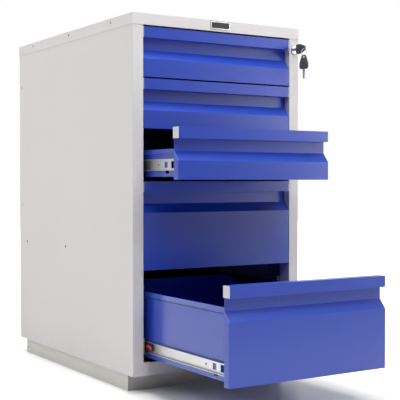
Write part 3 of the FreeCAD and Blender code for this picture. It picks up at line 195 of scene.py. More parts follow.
feed(dust, out, Mask=mask,
     Colour=mix_colour(dust, mask, into.outputs["Colour"], into.outputs["Dust colour"]))


def place_group(tree, group, **values):
    """A group in a material, with its values or links by the names of its inputs."""
    return put_node(tree, "ShaderNodeGroup", set_node_tree=group, **values)


def new_material(name):
    """An empty node material with its own Principled shader."""
    made = bpy.data.materials.new(name)
    made.use_nodes = True
    tree = made.node_tree
    tree.nodes.clear()
    shader = tree.nodes.new("ShaderNodeBsdfPrincipled")
    output = tree.nodes.new("ShaderNodeOutputMaterial")
    tree.links.new(shader.outputs[0], output.inputs[0])
    return made, tree, shader


def relief(tree, height, depth):
    """The bump of a height that changes over the surface."""
    return put_node(tree, "ShaderNodeBump", Strength=1.0, Distance=depth, Height=height).outputs["Normal"]


DUST_DULLS = 0.3


def painted(name, colour, bare, roughness, peel, drift=0.04, edge_amount=0.4, dust_amount=0.25,
            dust_top=0.10, specular=0.5):
    """Powder-coated steel. Its roughness is a least and a most, and bare shows on rubbed edges."""
    made, tree, shader = new_material(name)
    low_roughness, high_roughness = roughness
    coat = place_group(tree, powder, Colour=(*colour, 1), Drift=drift, **{
        "Low roughness": low_roughness, "High roughness": high_roughness})
    edges = place_group(tree, wear, Colour=coat.outputs["Colour"], Amount=edge_amount, **{
        "Worn colour": (*bare, 1)})
    dusty = place_group(tree, dust, Colour=edges.outputs["Colour"], Amount=dust_amount, Top=dust_top)
    dulled = plus(tree, coat.outputs["Roughness"], times(tree, dusty.outputs["Mask"], DUST_DULLS))
    feed(tree, shader, Roughness=dulled, Normal=relief(tree, coat.outputs["Height"], peel), **{
        "Base Color": dusty.outputs["Colour"]})
    shader.inputs["Specular IOR Level"].default_value = specular
    return made


def smooth_faces(obj):
    """Shade all faces of a piece smoothly."""
    for polygon in obj.data.polygons:
        polygon.use_smooth = True


WELD_GAP = 0.00001
FLAT_ANGLE = math.radians(0.5)


def soften(obj, width, segments, angle):
    """Round a piece's folded and cut edges."""
    weld = obj.modifiers.new("weld", "WELD")
    weld.merge_threshold = WELD_GAP
    flatten = obj.modifiers.new("flatten", "DECIMATE")
    flatten.decimate_type = "DISSOLVE"
    flatten.angle_limit = FLAT_ANGLE
    bevel = obj.modifiers.new("round", "BEVEL")
    bevel.width = width
    bevel.segments = segments
    bevel.limit_method = "ANGLE"
    bevel.angle_limit = math.radians(angle)
    bevel.use_clamp_overlap = True
    bevel.harden_normals = True
    smooth_faces(obj)
    level = obj.modifiers.new("normals", "WEIGHTED_NORMAL")
    level.keep_sharp = True


def dress(node_name, material, bend=0.0, segments=3, angle=35):
    """Give a CAD node its finish, and round its edges where a bend is given."""
    obj = nodes[node_name]
    if not obj.material_slots:
        obj.data.materials.append(material)
    for item in obj.material_slots:
        item.material = material
    if bend:
        soften(obj, bend, segments, angle)


body_paint = painted("light_grey_powder", BODY_GREY, BODY_BARE, roughness=(0.42, 0.52),
                     peel=BODY_PEEL, drift=0.02)
for side in ("left", "right"):
    dress(f"{side}_side_panel", body_paint, SIDE_BEND)


# Back panel and bottom panel: plain 1 mm sheets with folded flanges, sprayed with the same powder.
# The bottom panel's front edge is the rail that is seen under the lowest drawer.
PANEL_BEND = 0.0006
for name in ("back_panel", "bottom_panel"):
    dress(name, body_paint, PANEL_BEND)


# Lid and header rail: the lid is a shallow tray of the same sheet, turned over the body, with its
# skirt's corners welded and ground. The rail behind the skirt ties the two front posts together.
LID_BEND = 0.0014
lid_paint = painted("lid_powder", BODY_GREY, BODY_BARE, roughness=(0.40, 0.50), peel=BODY_PEEL,
                    drift=0.02, dust_amount=0.3)
dress("top_cover", lid_paint, LID_BEND)
dress("header_rail", body_paint, PANEL_BEND)


# Plinth: a welded frame of four 1.5 mm channels, sprayed and often wet from mopping round it,
# so that it is dustier and yellower than the body.
PLINTH_GREY = (0.66, 0.645, 0.612)
PLINTH_BEND = 0.001
plinth_paint = painted("plinth_powder", PLINTH_GREY, BODY_BARE, roughness=(0.5, 0.6), peel=BODY_PEEL,
                       drift=0.03, dust_top=0.045)
dress("plinth", plinth_paint, PLINTH_BEND)


# Uprights and the fixed members of the slides: roll-formed strip with a bright zinc coat, which
# shows long drawing streaks and soft spangles. Broad lighter and darker bands that change from
# front to back are painted reflections of the room, put into the zinc's colour.
UPRIGHT_BEND = 0.0008
MEMBER_BEND = 0.0005
ZINC_WORN = (0.85, 0.86, 0.88)
ZINC_RUB = 0.4
ZINC_EDGE = 0.0006
ZINC_DUST_TOP = 0.01
STREAK_DEPTH = 0.00001
STREAK_STRETCH = (90.0, 1.2, 900.0)
REFLECTION_BAND_STRETCH = (1.5, 9.0, 1.5)
REFLECTION_BAND_SPAN = (0.35, 0.65)
SPANGLES_PER_METRE = 260.0
STREAK_SHARE, REFLECTION_BAND_SHARE, SPANGLE_SHARE = 0.35, 0.5, 0.06
COOL_GREEN, COOL_BLUE = 1.006, 1.02
STREAK_DULLS = 0.07
zinc, into, out = new_group(
    "drawn_zinc",
    [("Tone", FLOAT, 0.72), ("Streaks", FLOAT, 0.25), ("Roughness", FLOAT, 0.3)],
    [("Colour", COLOUR), ("Roughness", FLOAT), ("Height", FLOAT)],
)
here = own_place(zinc)
along = put_node(zinc, "ShaderNodeMapping", Vector=here, Scale=STREAK_STRETCH).outputs[0]
streak = noise(zinc, along, scale=1.0, detail=3.0, roughness=0.6)
streaked = spread(zinc, streak, *NOISE_SPAN, *BOTH_WAYS)
# Broad bands of painted reflection, lighter and darker from front to back.
across = put_node(zinc, "ShaderNodeMapping", Vector=here, Scale=REFLECTION_BAND_STRETCH).outputs[0]
painted_reflection_bands = spread(zinc, noise(zinc, across, scale=1.0, detail=1.5), *REFLECTION_BAND_SPAN, *BOTH_WAYS)
spangle = put_node(zinc, "ShaderNodeTexVoronoi", Vector=here, Scale=SPANGLES_PER_METRE).outputs["Color"]
speck = put_node(zinc, "ShaderNodeSeparateColor", in0=spangle).outputs[0]
spangled = spread(zinc, speck, 0.0, 1.0, *BOTH_WAYS)
shade = plus(zinc, times(zinc, streaked, STREAK_SHARE), times(zinc, painted_reflection_bands, REFLECTION_BAND_SHARE))
shade = plus(zinc, shade, times(zinc, spangled, SPANGLE_SHARE))
level = times(zinc, into.outputs["Tone"], plus(zinc, times(zinc, shade, into.outputs["Streaks"]), 1.0))
cool = put_node(zinc, "ShaderNodeCombineColor", in0=level, in1=times(zinc, level, COOL_GREEN),
                in2=times(zinc, level, COOL_BLUE)).outputs[0]
feed(zinc, out, Colour=cool, Height=streak,
     Roughness=plus(zinc, into.outputs["Roughness"], times(zinc, streaked, STREAK_DULLS)))


def zinc_plated(name, tone, streaks, roughness, dust_amount=0.15, metal=1.0):
    """Bright zinc on drawn or rolled strip, with painted reflection bands in its colour."""
    made, tree, shader = new_material(name)
    plate = place_group(tree, zinc, Tone=tone, Streaks=streaks, Roughness=roughness)
    edges = place_group(tree, wear, Colour=plate.outputs["Colour"], Amount=ZINC_RUB, Radius=ZINC_EDGE, **{
        "Worn colour": (*ZINC_WORN, 1)})
    dusty = place_group(tree, dust, Colour=edges.outputs["Colour"], Amount=dust_amount, Top=ZINC_DUST_TOP)
    feed(tree, shader, Roughness=plate.outputs["Roughness"],
         Normal=relief(tree, plate.outputs["Height"], STREAK_DEPTH), **{
             "Base Color": dusty.outputs["Colour"]})
    shader.inputs["Metallic"].default_value = metal
    return made


upright_zinc = zinc_plated("upright_zinc", tone=0.55, streaks=0.35, roughness=0.42, dust_amount=0.3)
slide_zinc = zinc_plated("slide_zinc", tone=0.43, streaks=0.10, roughness=0.35)
dress("slide_uprights", upright_zinc, UPRIGHT_BEND)
dress("cabinet_slide_members", slide_zinc, MEMBER_BEND, segments=2)


# Screws and rivets of the body: pan-head screws with a cross recess through the side skins, and
# domed rivets in the lid's skirt, touched in with grey paint. The two screws into the uprights
# are blackened and left bare.
HEAD_RADIUS = 0.0028
HEAD_HEIGHT = 0.0010
HEAD_EYE = 0.04
DOME_FALL = 0.92
RECESS_LEVEL = 0.45
RECESS_HALF = 0.00032
RECESS_REACH = 0.6
BODY_HALF = 0.2285
LID_HALF = 0.2295
PLINTH_HALF = 0.215
BACK_ROW = 0.316
SCREW_PLACES = [(BACK_ROW, 0.4095), (BACK_ROW, 0.7315), (0.0275, 0.310), (0.2797, 0.310)]
RIVET_PLACES = [(-0.2272, 0.837), (0.0033, 0.837), (0.2338, 0.837)]
PLINTH_SCREW = (0.3085, 0.0145)
UPRIGHT_ROW = (0.1, 0.35)


def smooth_below(obj, angle):
    """Smooth shading that keeps the edges sharper than an angle."""
    smooth_faces(obj)
    sharp = math.radians(angle)
    work = bmesh.new()
    work.from_mesh(obj.data)
    for item in work.edges:
        item.smooth = len(item.link_faces) == 2 and item.calc_face_angle(0.0) < sharp
    work.to_mesh(obj.data)
    work.free()


def new_piece(name, mesh_maker, material, body, smooth_angle=0):
    """A mesh piece that rides on a body, shaded smoothly where an angle is given."""
    mesh = bpy.data.meshes.new(name)
    work = bmesh.new()
    mesh_maker(work)
    bmesh.ops.recalc_face_normals(work, faces=work.faces)
    work.to_mesh(mesh)
    work.free()
    mesh.materials.append(material)
    obj = bpy.data.objects.new(name, mesh)
    bpy.context.scene.collection.objects.link(obj)
    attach(obj, body)
    if smooth_angle:
        smooth_below(obj, smooth_angle)
    return obj


def skin(work, rows, capped=True):
    """Faces from each ring of points to the next, and over the two ends."""
    for near, far in zip(rows, rows[1:]):
        for step in range(len(near)):
            following = (step + 1) % len(near)
            work.faces.new((near[step], near[following], far[following], far[step]))
    if capped:
        work.faces.new(rows[0])
        work.faces.new(list(reversed(rows[-1])))


def screw_head(work, sign, x, y, z, recess):
    """A domed head that faces sideways, with a cross recess where it is a screw."""
    rings, sectors = 12, 40
    rows = []
    for ring in range(rings + 1):
        share = ring / rings
        radius = HEAD_RADIUS * max(share, HEAD_EYE)
        row = []
        for sector in range(sectors):
            turn = 2 * math.pi * sector / sectors
            across, up = radius * math.cos(turn), radius * math.sin(turn)
            rise = HEAD_HEIGHT * math.sqrt(max(0.0, 1.0 - DOME_FALL * share ** 3))
            if recess and min(abs(across), abs(up)) < RECESS_HALF and share < RECESS_REACH:
                rise = HEAD_HEIGHT * RECESS_LEVEL
            if ring == rings:
                rise = 0.0
            row.append(work.verts.new((sign * (x + rise), y + across, z + up)))
        rows.append(row)
    skin(work, rows)


def all_heads(work):
    """Every screw and rivet on both sides."""
    for sign in (-1, 1):
        for y, z in SCREW_PLACES:
            screw_head(work, sign, BODY_HALF, y, z, True)
        for y, z in RIVET_PLACES:
            screw_head(work, sign, LID_HALF, y, z, False)
        screw_head(work, sign, PLINTH_HALF, *PLINTH_SCREW, True)


screw_paint = painted("screw_touch_up", (0.22, 0.215, 0.21), (0.4, 0.4, 0.4), roughness=(0.35, 0.5),
                      peel=0.00005, edge_amount=0.9, dust_amount=0.3)
screw_black = painted("blackened_screw", (0.012, 0.012, 0.012), (0.10, 0.10, 0.10), roughness=(0.35, 0.5),
                      peel=0.00003, dust_amount=0.0, specular=0.3)
dress("cabinet_screws", screw_paint)
heads = new_piece("cabinet_screw_heads", all_heads, screw_paint, "cabinet",
                  smooth_angle=50)
heads.data.materials.append(screw_black)
for polygon in heads.data.polygons:
    if UPRIGHT_ROW[0] < polygon.center.z < UPRIGHT_ROW[1]:
        polygon.material_index = 1
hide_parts("cabinet_screws")


# Badge: a black lacquered plate with a raised bright frame pressed round it, stuck to the lid.
# It is left plain.
FRAME_INSET = 0.0014
FRAME_CORNER = 0.0024
FRAME_WIRE = 0.0012
FRAME_RISE = 0.75
FRAME_BEDDING = 0.0001
BADGE_BEND = 0.0004
badge_low, badge_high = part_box("badge_plate")


def badge_frame(work):
    """A half-round frame along the plate's rounded rectangle."""
    corner_steps, section = 8, 8
    middle = (badge_low + badge_high) / 2
    flat_wide = (badge_high.x - badge_low.x) / 2 - FRAME_INSET - FRAME_CORNER
    flat_tall = (badge_high.z - badge_low.z) / 2 - FRAME_INSET - FRAME_CORNER
    rows = []
    for quarter, (sx, sz) in enumerate(((1, 1), (-1, 1), (-1, -1), (1, -1))):
        for corner_step in range(corner_steps + 1):
            turn = math.pi / 2 * (quarter + corner_step / corner_steps)
            outward = Vector((math.cos(turn), 0, math.sin(turn)))
            place = Vector((sx * flat_wide, 0, sz * flat_tall)) + FRAME_CORNER * outward
            row = []
            for step in range(section):
                lean = math.pi * step / (section - 1)
                spot = middle + place + outward * FRAME_WIRE * math.cos(lean)
                rise = FRAME_WIRE * FRAME_RISE * math.sin(lean)
                row.append(work.verts.new((spot.x, badge_low.y + FRAME_BEDDING - rise, spot.z)))
            rows.append(row)
    skin(work, rows + rows[:1], capped=False)


badge_black = painted("badge_lacquer", (0.012, 0.012, 0.013), (0.08, 0.08, 0.08), roughness=(0.29, 0.34),
                      peel=0.00003, edge_amount=0.3, dust_amount=0.06)
badge_bright = zinc_plated("badge_frame_bright", tone=0.78, streaks=0.08, roughness=0.2, dust_amount=0.05)
dress("badge_plate", badge_black, BADGE_BEND, segments=2)
new_piece("badge_frame", badge_frame, badge_bright, "cabinet", smooth_angle=50)


# Lock: a nickel-plated die-cast barrel with a flange in the right post, its turning plug, the
# steel cam behind it and the flat lock bar with its hooks.
FLANGE_BEND = 0.0005
PLUG_BEND = 0.0003
BAR_BEND = 0.0003
nickel = zinc_plated("lock_nickel", tone=0.50, streaks=0.10, roughness=0.36, dust_amount=0.05)
dress("lock_housing", nickel, FLANGE_BEND, angle=50)
dress("lock_plug", nickel, PLUG_BEND, segments=2, angle=50)
dress("lock_cam", upright_zinc)
dress("lock_bar", slide_zinc, BAR_BEND, segments=2)


# Keys: blanked nickel-silver blades in moulded black heads. The split ring is two close turns of
# spring wire, with the second key hanging from it.
GRAIN_SIZE = 700.0
GRAIN_DEPTH = 0.00005
GRAIN_DRIFT = 0.08
PLASTIC_RUB = 0.35
PLASTIC_EDGE = 0.0008
KEY_HEAD_ROUND = 0.0007
KEY_BLADE_ROUND = 0.0002
RING_RADIUS = 0.009
RING_TURN = math.radians(10)
RING_WIRE = 0.00034
RING_TURNS = 2
RING_START = math.radians(35)
RING_CROSSING = 14


def plastic(name, colour, bare, roughness):
    """Moulded plastic with a fine spark-eroded grain."""
    made, tree, shader = new_material(name)
    low_roughness, high_roughness = roughness
    coat = place_group(tree, powder, Colour=(*colour, 1), Drift=GRAIN_DRIFT, **{
        "Peel size": GRAIN_SIZE, "Low roughness": low_roughness, "High roughness": high_roughness})
    edges = place_group(tree, wear, Colour=coat.outputs["Colour"], Amount=PLASTIC_RUB, Radius=PLASTIC_EDGE,
                        **{"Worn colour": (*bare, 1)})
    feed(tree, shader, Roughness=coat.outputs["Roughness"],
         Normal=relief(tree, coat.outputs["Height"], GRAIN_DEPTH), **{
             "Base Color": edges.outputs["Colour"]})
    return made


key_black = plastic("key_head_plastic", (0.075, 0.074, 0.077), (0.13, 0.13, 0.13), roughness=(0.32, 0.46))
key_steel = zinc_plated("key_nickel_silver", tone=0.44, streaks=0.20, roughness=0.40, dust_amount=0.03,
                        metal=0.5)
for name in ("key_head", "spare_key_head"):
    dress(name, key_black, KEY_HEAD_ROUND, angle=50)
for name in ("key_blade", "spare_key_blade"):
    dress(name, key_steel, KEY_BLADE_ROUND, segments=1, angle=40)
ring_low, ring_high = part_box("key_ring")


def split_ring(work):
    """Two turns of wire side by side, which cross over half way round."""
    middle = (ring_low + ring_high) / 2
    across = Vector((math.cos(RING_TURN), math.sin(RING_TURN), 0))
    axis = Vector((-math.sin(RING_TURN), math.cos(RING_TURN), 0))
    upright = Vector((0, 0, 1))
    steps, section = 144, 8
    rows = []
    for step in range(steps + 1):
        share = step / steps
        turn = 2 * math.pi * RING_TURNS * share + RING_START
        outward = across * math.cos(turn) + upright * math.sin(turn)
        offset = RING_WIRE * math.tanh((share - 0.5) * RING_CROSSING)
        centre = middle + outward * RING_RADIUS + axis * offset
        row = []
        for corner in range(section):
            angle = 2 * math.pi * corner / section
            spoke = outward * math.cos(angle) + axis * math.sin(angle)
            row.append(work.verts.new(centre + RING_WIRE * spoke))
        rows.append(row)
    skin(work, rows)


dress("key_ring", key_steel)
ring = new_piece("split_key_ring", split_ring, key_steel, "key_ring", smooth_angle=60)
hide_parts("key_ring")


# Drawer fronts and boxes: 1 mm sheet, folded and spot welded, sprayed blue in a smooth semi-gloss
# powder. Pulling hands rub the lips' edges a little lighter.
DRAWER_BLUE = (0.014, 0.050, 0.40)
BLUE_WORN = (0.12, 0.17, 0.48)
BLUE_PEEL = 0.00002
FRONT_BEND = 0.0006
BOX_BEND = 0.0004
DRAWERS = range(1, 6)
front_paint = painted("blue_powder", DRAWER_BLUE, BLUE_WORN, roughness=(0.28, 0.31), peel=BLUE_PEEL,
                      drift=0.015, edge_amount=0.5, dust_amount=0.03)
box_paint = painted("blue_powder_box", DRAWER_BLUE, BLUE_WORN, roughness=(0.21, 0.24), peel=BLUE_PEEL,
                    drift=0.02, dust_amount=0.08)
for number in DRAWERS:
    dress(f"drawer_{number}_front", front_paint, FRONT_BEND)
    dress(f"drawer_{number}_box", box_paint, BOX_BEND, segments=2)


# Cut edges of the fronts: where the slope runs out at each end, the sheet's sheared edge stands a
# hair proud of the end plate. The powder on it is thin, and its pale blue is a painted highlight,
# the light that the edge catches.
EDGE_HIGHLIGHT_BLUE = (0.24, 0.30, 0.62)
EDGE_BARE = (0.5, 0.52, 0.6)
EDGE_TUCK = 0.0002
EDGE_PROUD = 0.00022
EDGE_START = 0.0003
EDGE_END = 0.0013
SLOPE_HEAD = (0.0168, 0.0500)
SLOPE_FOOT = (0.0, 0.0705)
EDGE_CORNERS = [(SLOPE_HEAD, EDGE_START), (SLOPE_FOOT, EDGE_START),
                (SLOPE_FOOT, EDGE_END), (SLOPE_HEAD, EDGE_END)]
# Pale blue painted highlight on the sheared edges.
edge_highlight_paint = painted("sheared_edge", EDGE_HIGHLIGHT_BLUE, EDGE_BARE, roughness=(0.32, 0.4), peel=BLUE_PEEL,
                     drift=0.05, edge_amount=0.5, dust_amount=0.03)


def sheared_edge_maker(number):
    """The sheared edges of one front, one at each end of its slope."""
    front_low, front_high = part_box(f"drawer_{number}_front")
    outline = [(front_low.y + back + shift / 2, front_high.z - down - shift)
               for (back, down), shift in EDGE_CORNERS]

    def make(work):
        for sign in (-1, 1):
            skin(work, [[work.verts.new((sign * x, y, z)) for y, z in outline]
                        for x in (front_high.x - EDGE_TUCK, front_high.x + EDGE_PROUD)])
    return make


for number in DRAWERS:
    new_piece(f"drawer_{number}_sheared_edges", sheared_edge_maker(number), edge_highlight_paint,
              f"drawer_{number}")


# Open hems of the box sides: the top of each side is rolled outward into a lip that stands off
# the sheet. Hardly any light gets into the slit under it, and that shade is painted: a near-black
# bead along each wall. The low boxes' slits are tighter, to clear the cabinet's slide members.
HEM_DROP = 0.0105
HEM_STAND = 0.0020
SLIT_END_GAP = 0.0008
SLIT_TALL = 0.0011
SLIT_TIGHT = 0.00045
TALL_BOX = 0.100
SLIT_PROFILE = [(0.0, 0.0), (0.0011, 0.1), (0.0009, 0.55), (0.0003, 0.85), (0.0, 1.0)]
# Near-black, dull paint for the shade in the slits under the hems.
painted_slit_shade = painted("hem_slit_shadow", (0.006, 0.014, 0.09), (0.01, 0.02, 0.12), roughness=(0.6, 0.8),
                    peel=BLUE_PEEL, edge_amount=0.0, dust_amount=0.0, specular=0.1)


def slit_shade_maker(number):
    """The painted shade in the slits under both hems of one drawer, as a dark bead along each wall."""
    box_low, box_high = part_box(f"drawer_{number}_box")
    front_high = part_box(f"drawer_{number}_front")[1]
    top = box_high.z - HEM_DROP
    wall = box_high.x - HEM_STAND
    tall = SLIT_TALL if box_high.z - box_low.z > TALL_BOX else SLIT_TIGHT

    def make(work):
        for sign in (-1, 1):
            skin(work, [[work.verts.new((sign * (wall + stand), y, top - tall * share))
                         for stand, share in SLIT_PROFILE]
                        for y in (front_high.y + SLIT_END_GAP, box_high.y - SLIT_END_GAP)])
    return make


for number in DRAWERS:
    new_piece(f"drawer_{number}_hem_slit_shade", slit_shade_maker(number), painted_slit_shade,
              f"drawer_{number}")


# End caps: pale grey mouldings, pushed by hand into the open ends of each drawer's hollow lip and
# held there by their own grip.
CAP_ROUND = 0.0003
cap_grey = plastic("end_cap_plastic", (0.60, 0.60, 0.61), (0.75, 0.75, 0.75), roughness=(0.42, 0.55))
for number in DRAWERS:
    dress(f"drawer_{number}_end_caps", cap_grey, CAP_ROUND, segments=2)


# Moving slide members and ball cages: the same rolled zinc strip, with cages of thin bright strip
# that hold polished balls.
cage_steel = zinc_plated("cage_steel", tone=0.66, streaks=0.12, roughness=0.20)
for number in DRAWERS:
    for name in ("drawer_slide_members", "middle_slide_members"):
        dress(f"drawer_{number}_{name}", slide_zinc, MEMBER_BEND, segments=2)
    for name in ("inner_ball_cages", "outer_ball_cages"):
        dress(f"drawer_{number}_{name}", cage_steel)
        smooth_faces(nodes[f"drawer_{number}_{name}"])


# Blind rivets: steel heads, set from outside, that hold each drawer member to the side of its
# box. The pin has been drawn through and broken off, which leaves a hole in the middle. The heads'
# near-black tone is painted shade, the shadow of the hole in the member's web where they sit.
RIVET_SET = 0.100
RIVET_RADIUS = 0.0023
RIVET_BACK = 0.0100
RIVET_PROFILE = [(1.0, 0.0), (1.0, 0.00025), (0.82, 0.00055), (0.5, 0.0007), (0.42, 0.0006), (0.38, 0.0001)]
# Near-black: the steel heads together with the painted shade of the hole they sit in.
rivet_steel_and_shade = zinc_plated("rivet_steel_and_painted_shade", tone=0.07, streaks=0.3, roughness=0.45, dust_amount=0.05)


def rivet_maker(number):
    """The rivet heads of one drawer, one on each side."""
    front_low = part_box(f"drawer_{number}_front")[0]
    member_low, member_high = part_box(f"drawer_{number}_drawer_slide_members")
    y, z = front_low.y + RIVET_SET, (member_low.z + member_high.z) / 2
    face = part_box(f"drawer_{number}_end_caps")[1].x - RIVET_BACK

    def make(work):
        sectors = 28
        for sign in (-1, 1):
            rows = []
            for share, rise in RIVET_PROFILE:
                row = []
                for sector in range(sectors):
                    turn = 2 * math.pi * sector / sectors
                    across, up = math.cos(turn), math.sin(turn)
                    row.append(work.verts.new((sign * (face + rise), y + RIVET_RADIUS * share * across,
                                               z + RIVET_RADIUS * share * up)))
                rows.append(row)
            skin(work, rows)
    return make


for number in DRAWERS:
    new_piece(f"drawer_{number}_slide_rivets", rivet_maker(number), rivet_steel_and_shade,
              f"drawer_{number}", smooth_angle=40)


# Release levers: black acetal levers with a red tongue clipped on for the finger, in front of the
# black latch block, which is fixed in the drawer member's channel.
LEVER_BEND = 0.0005
TONGUE_AHEAD = 0.009
TONGUE_HALF_LONG = 0.0112
TONGUE_HALF_TALL = 0.0024
TONGUE_SUNK = 0.0005
TONGUE_THICK = 0.00075
RIB_RISE = 0.00012
RIB_WAVES = 5
RIB_REACH = 0.55
END_SQUARENESS, SIDE_SQUARENESS = 8, 6
BOW_TOP = 0.0022
BOW_FALL = 0.0026
BOW_PLACE = 0.25
LATCH_GAP = 0.0006
LATCH_ROUND = 0.0006
LATCH_FACES = (0.1909, 0.1949)
LATCH_OUTLINE = [(0.0, 0.0085), (0.004, 0.0102), (0.020, 0.0102), (0.026, 0.0060), (0.034, 0.0060)]
lever_black = plastic("lever_plastic", (0.012, 0.012, 0.013), (0.05, 0.05, 0.05), roughness=(0.35, 0.5))
tongue_red = plastic("tongue_plastic", (0.85, 0.018, 0.022), (0.9, 0.15, 0.12), roughness=(0.3, 0.42))


def tongue_maker(number):
    """The red tongues of one drawer, arched and ribbed, one on each side."""
    lever_low, lever_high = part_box(f"drawer_{number}_release_levers")
    middle_y = (lever_low.y + lever_high.y) / 2 - TONGUE_AHEAD
    middle_z = (lever_low.z + lever_high.z) / 2
    surface = lever_high.x - TONGUE_SUNK

    def make(work):
        long_steps, tall_steps = 46, 12
        for sign in (-1, 1):
            rows = []
            for step in range(long_steps + 1):
                along_share = step / long_steps * 2 - 1
                rib = 0.0
                if abs(along_share) < RIB_REACH:
                    rib = RIB_RISE * (0.5 + 0.5 * math.cos(along_share * RIB_WAVES * math.pi))
                bow = BOW_TOP - BOW_FALL * (along_share - BOW_PLACE) ** 2
                row = []
                for tall in range(tall_steps + 1):
                    up_share = tall / tall_steps * 2 - 1
                    edge = max(abs(along_share) ** END_SQUARENESS, abs(up_share) ** SIDE_SQUARENESS)
                    row.append(work.verts.new((sign * (surface + (TONGUE_THICK + rib) * (1 - edge)),
                                               middle_y + along_share * TONGUE_HALF_LONG,
                                               middle_z + up_share * TONGUE_HALF_TALL + bow)))
                rows.append(row)
            for near, far in zip(rows, rows[1:]):
                for tall in range(tall_steps):
                    work.faces.new((near[tall], near[tall + 1], far[tall + 1], far[tall]))
            rim = rows[0] + [row[-1] for row in rows[1:]] + list(reversed(rows[-1][:-1]))
            rim += [row[0] for row in reversed(rows[1:-1])]
            work.faces.new(rim)
    return make


def latch_maker(number):
    """The latch blocks of one drawer, behind the levers in the members' channels."""
    lever_low, lever_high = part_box(f"drawer_{number}_release_levers")
    middle_z = (lever_low.z + lever_high.z) / 2
    start = lever_high.y + LATCH_GAP
    outline = LATCH_OUTLINE + [(y, -z) for y, z in reversed(LATCH_OUTLINE)]

    def make(work):
        for sign in (-1, 1):
            skin(work, [[work.verts.new((sign * x, start + y, middle_z + z)) for y, z in outline]
                        for x in LATCH_FACES])
    return make


for number in DRAWERS:
    dress(f"drawer_{number}_release_levers", lever_black, LEVER_BEND, segments=2)
    new_piece(f"drawer_{number}_lever_tongues", tongue_maker(number), tongue_red,
              f"drawer_{number}_levers", smooth_angle=50)
    latch = new_piece(f"drawer_{number}_latch_blocks", latch_maker(number), lever_black,
                      f"drawer_{number}")
    rounding = latch.modifiers.new("round", "BEVEL")
    rounding.width = LATCH_ROUND
    rounding.segments = 2


# Studio: a pale floor that runs out into a white background, large soft boxes that light the
# paint, cards that only show in its gloss, and the camera at the photograph's angle.
FLOOR_HALF = 7.0
FLOOR_BOUNCE = (0.80, 0.80, 0.80)
FLOOR_ROUGHNESS = 0.25
FOOT_MIDDLE = (0.02, -0.20)
FOOT_HALF = (0.20, 0.50)
SPECKLE_SPAN = (0.97, 1.0)
SHADOW_REACH = 0.22
FAR_SPAN = (0.5, 1.5)
REAR_SPAN = (-0.5, 0.2)
DIMMED = 0.35
WALL_SPAN = (-0.15, 0.15)
CEILING_SPAN = (0.30, 0.75)
CEILING_WHITE = 0.47
corners = [(-FLOOR_HALF, -FLOOR_HALF, 0.0), (FLOOR_HALF, -FLOOR_HALF, 0.0),
           (FLOOR_HALF, FLOOR_HALF, 0.0), (-FLOOR_HALF, FLOOR_HALF, 0.0)]
floor_mesh = bpy.data.meshes.new("floor")
floor_mesh.from_pydata(corners, [], [range(len(corners))])
floor = bpy.data.objects.new("floor", floor_mesh)
bpy.context.scene.collection.objects.link(floor)


def beyond(tree, value, middle, half):
    """How far a value lies outside a stretch."""
    off = math_node(tree, "ABSOLUTE", math_node(tree, "SUBTRACT", value, middle))
    return math_node(tree, "MAXIMUM", math_node(tree, "SUBTRACT", off, half), 0.0)


# White to the camera away from the cabinet's foot, dimmer in the gloss where it lies behind or far
# off, and plain pale to the lamps, so that it keeps the cabinet's shadow
floor_look, tree, shader = new_material("pale_floor")
path = put_node(tree, "ShaderNodeLightPath").outputs
mirrored_ray = math_node(tree, "MAXIMUM", path["Is Glossy Ray"], path["Is Transmission Ray"])
seen_ray = math_node(tree, "MAXIMUM", path["Is Camera Ray"], mirrored_ray)
here = own_place(tree)
speckle = spread(tree, noise(tree, here, scale=30.0, detail=3.0), *NOISE_SPAN, *SPECKLE_SPAN)
speckled = even_grey(tree, speckle)
bounce = mix_colour(tree, 1.0, speckled, FLOOR_BOUNCE, "MULTIPLY")
beside = beyond(tree, axis_of(tree, here, "X"), FOOT_MIDDLE[0], FOOT_HALF[0])
before = beyond(tree, axis_of(tree, here, "Y"), FOOT_MIDDLE[1], FOOT_HALF[1])
away = math_node(tree, "SQRT", plus(tree, times(tree, beside, beside), times(tree, before, before)))
fade = spread(tree, away, 0.0, SHADOW_REACH)
far_off = math_node(tree, "MAXIMUM", path["Is Camera Ray"], spread(tree, away, *FAR_SPAN, 1.0, DIMMED))
at_rear = math_node(tree, "MAXIMUM", path["Is Camera Ray"],
                    spread(tree, axis_of(tree, here, "Y"), *REAR_SPAN, 1.0, DIMMED))
glow = times(tree, times(tree, fade, seen_ray), times(tree, far_off, at_rear))
feed(tree, shader, **{"Base Color": mix_colour(tree, seen_ray, bounce, speckled),
                      "Emission Color": even_grey(tree, glow)})
shader.inputs["Roughness"].default_value = FLOOR_ROUGHNESS
shader.inputs["Emission Strength"].default_value = 1.0
floor_mesh.materials.append(floor_look)

# White to the camera, and a dimmer ceiling and a white rear wall in the gloss
world = bpy.data.worlds.new("studio")
bpy.context.scene.world = world
world.use_nodes = True
tree = world.node_tree
tree.nodes.clear()
path = put_node(tree, "ShaderNodeLightPath").outputs
mirrored_ray = math_node(tree, "MAXIMUM", path["Is Glossy Ray"], path["Is Transmission Ray"])
way = put_node(tree, "ShaderNodeTexCoord").outputs["Generated"]
rear_wall = spread(tree, axis_of(tree, way, "Y"), *WALL_SPAN)
ceiling = spread(tree, axis_of(tree, way, "Z"), *CEILING_SPAN, 0.0, CEILING_WHITE)
room = math_node(tree, "MAXIMUM", rear_wall, ceiling)
strength = math_node(tree, "MAXIMUM", path["Is Camera Ray"], times(tree, mirrored_ray, room))
sky = put_node(tree, "ShaderNodeBackground", Color=(1, 1, 1, 1), Strength=strength)
tree.links.new(sky.outputs[0], put_node(tree, "ShaderNodeOutputWorld").inputs[0])


def aim(obj, place, way):
    """Put a lamp or the camera at a place, looking along a direction."""
    obj.matrix_world = Matrix.Translation(place) @ Vector(way).to_track_quat("-Z", "Y").to_matrix().to_4x4()


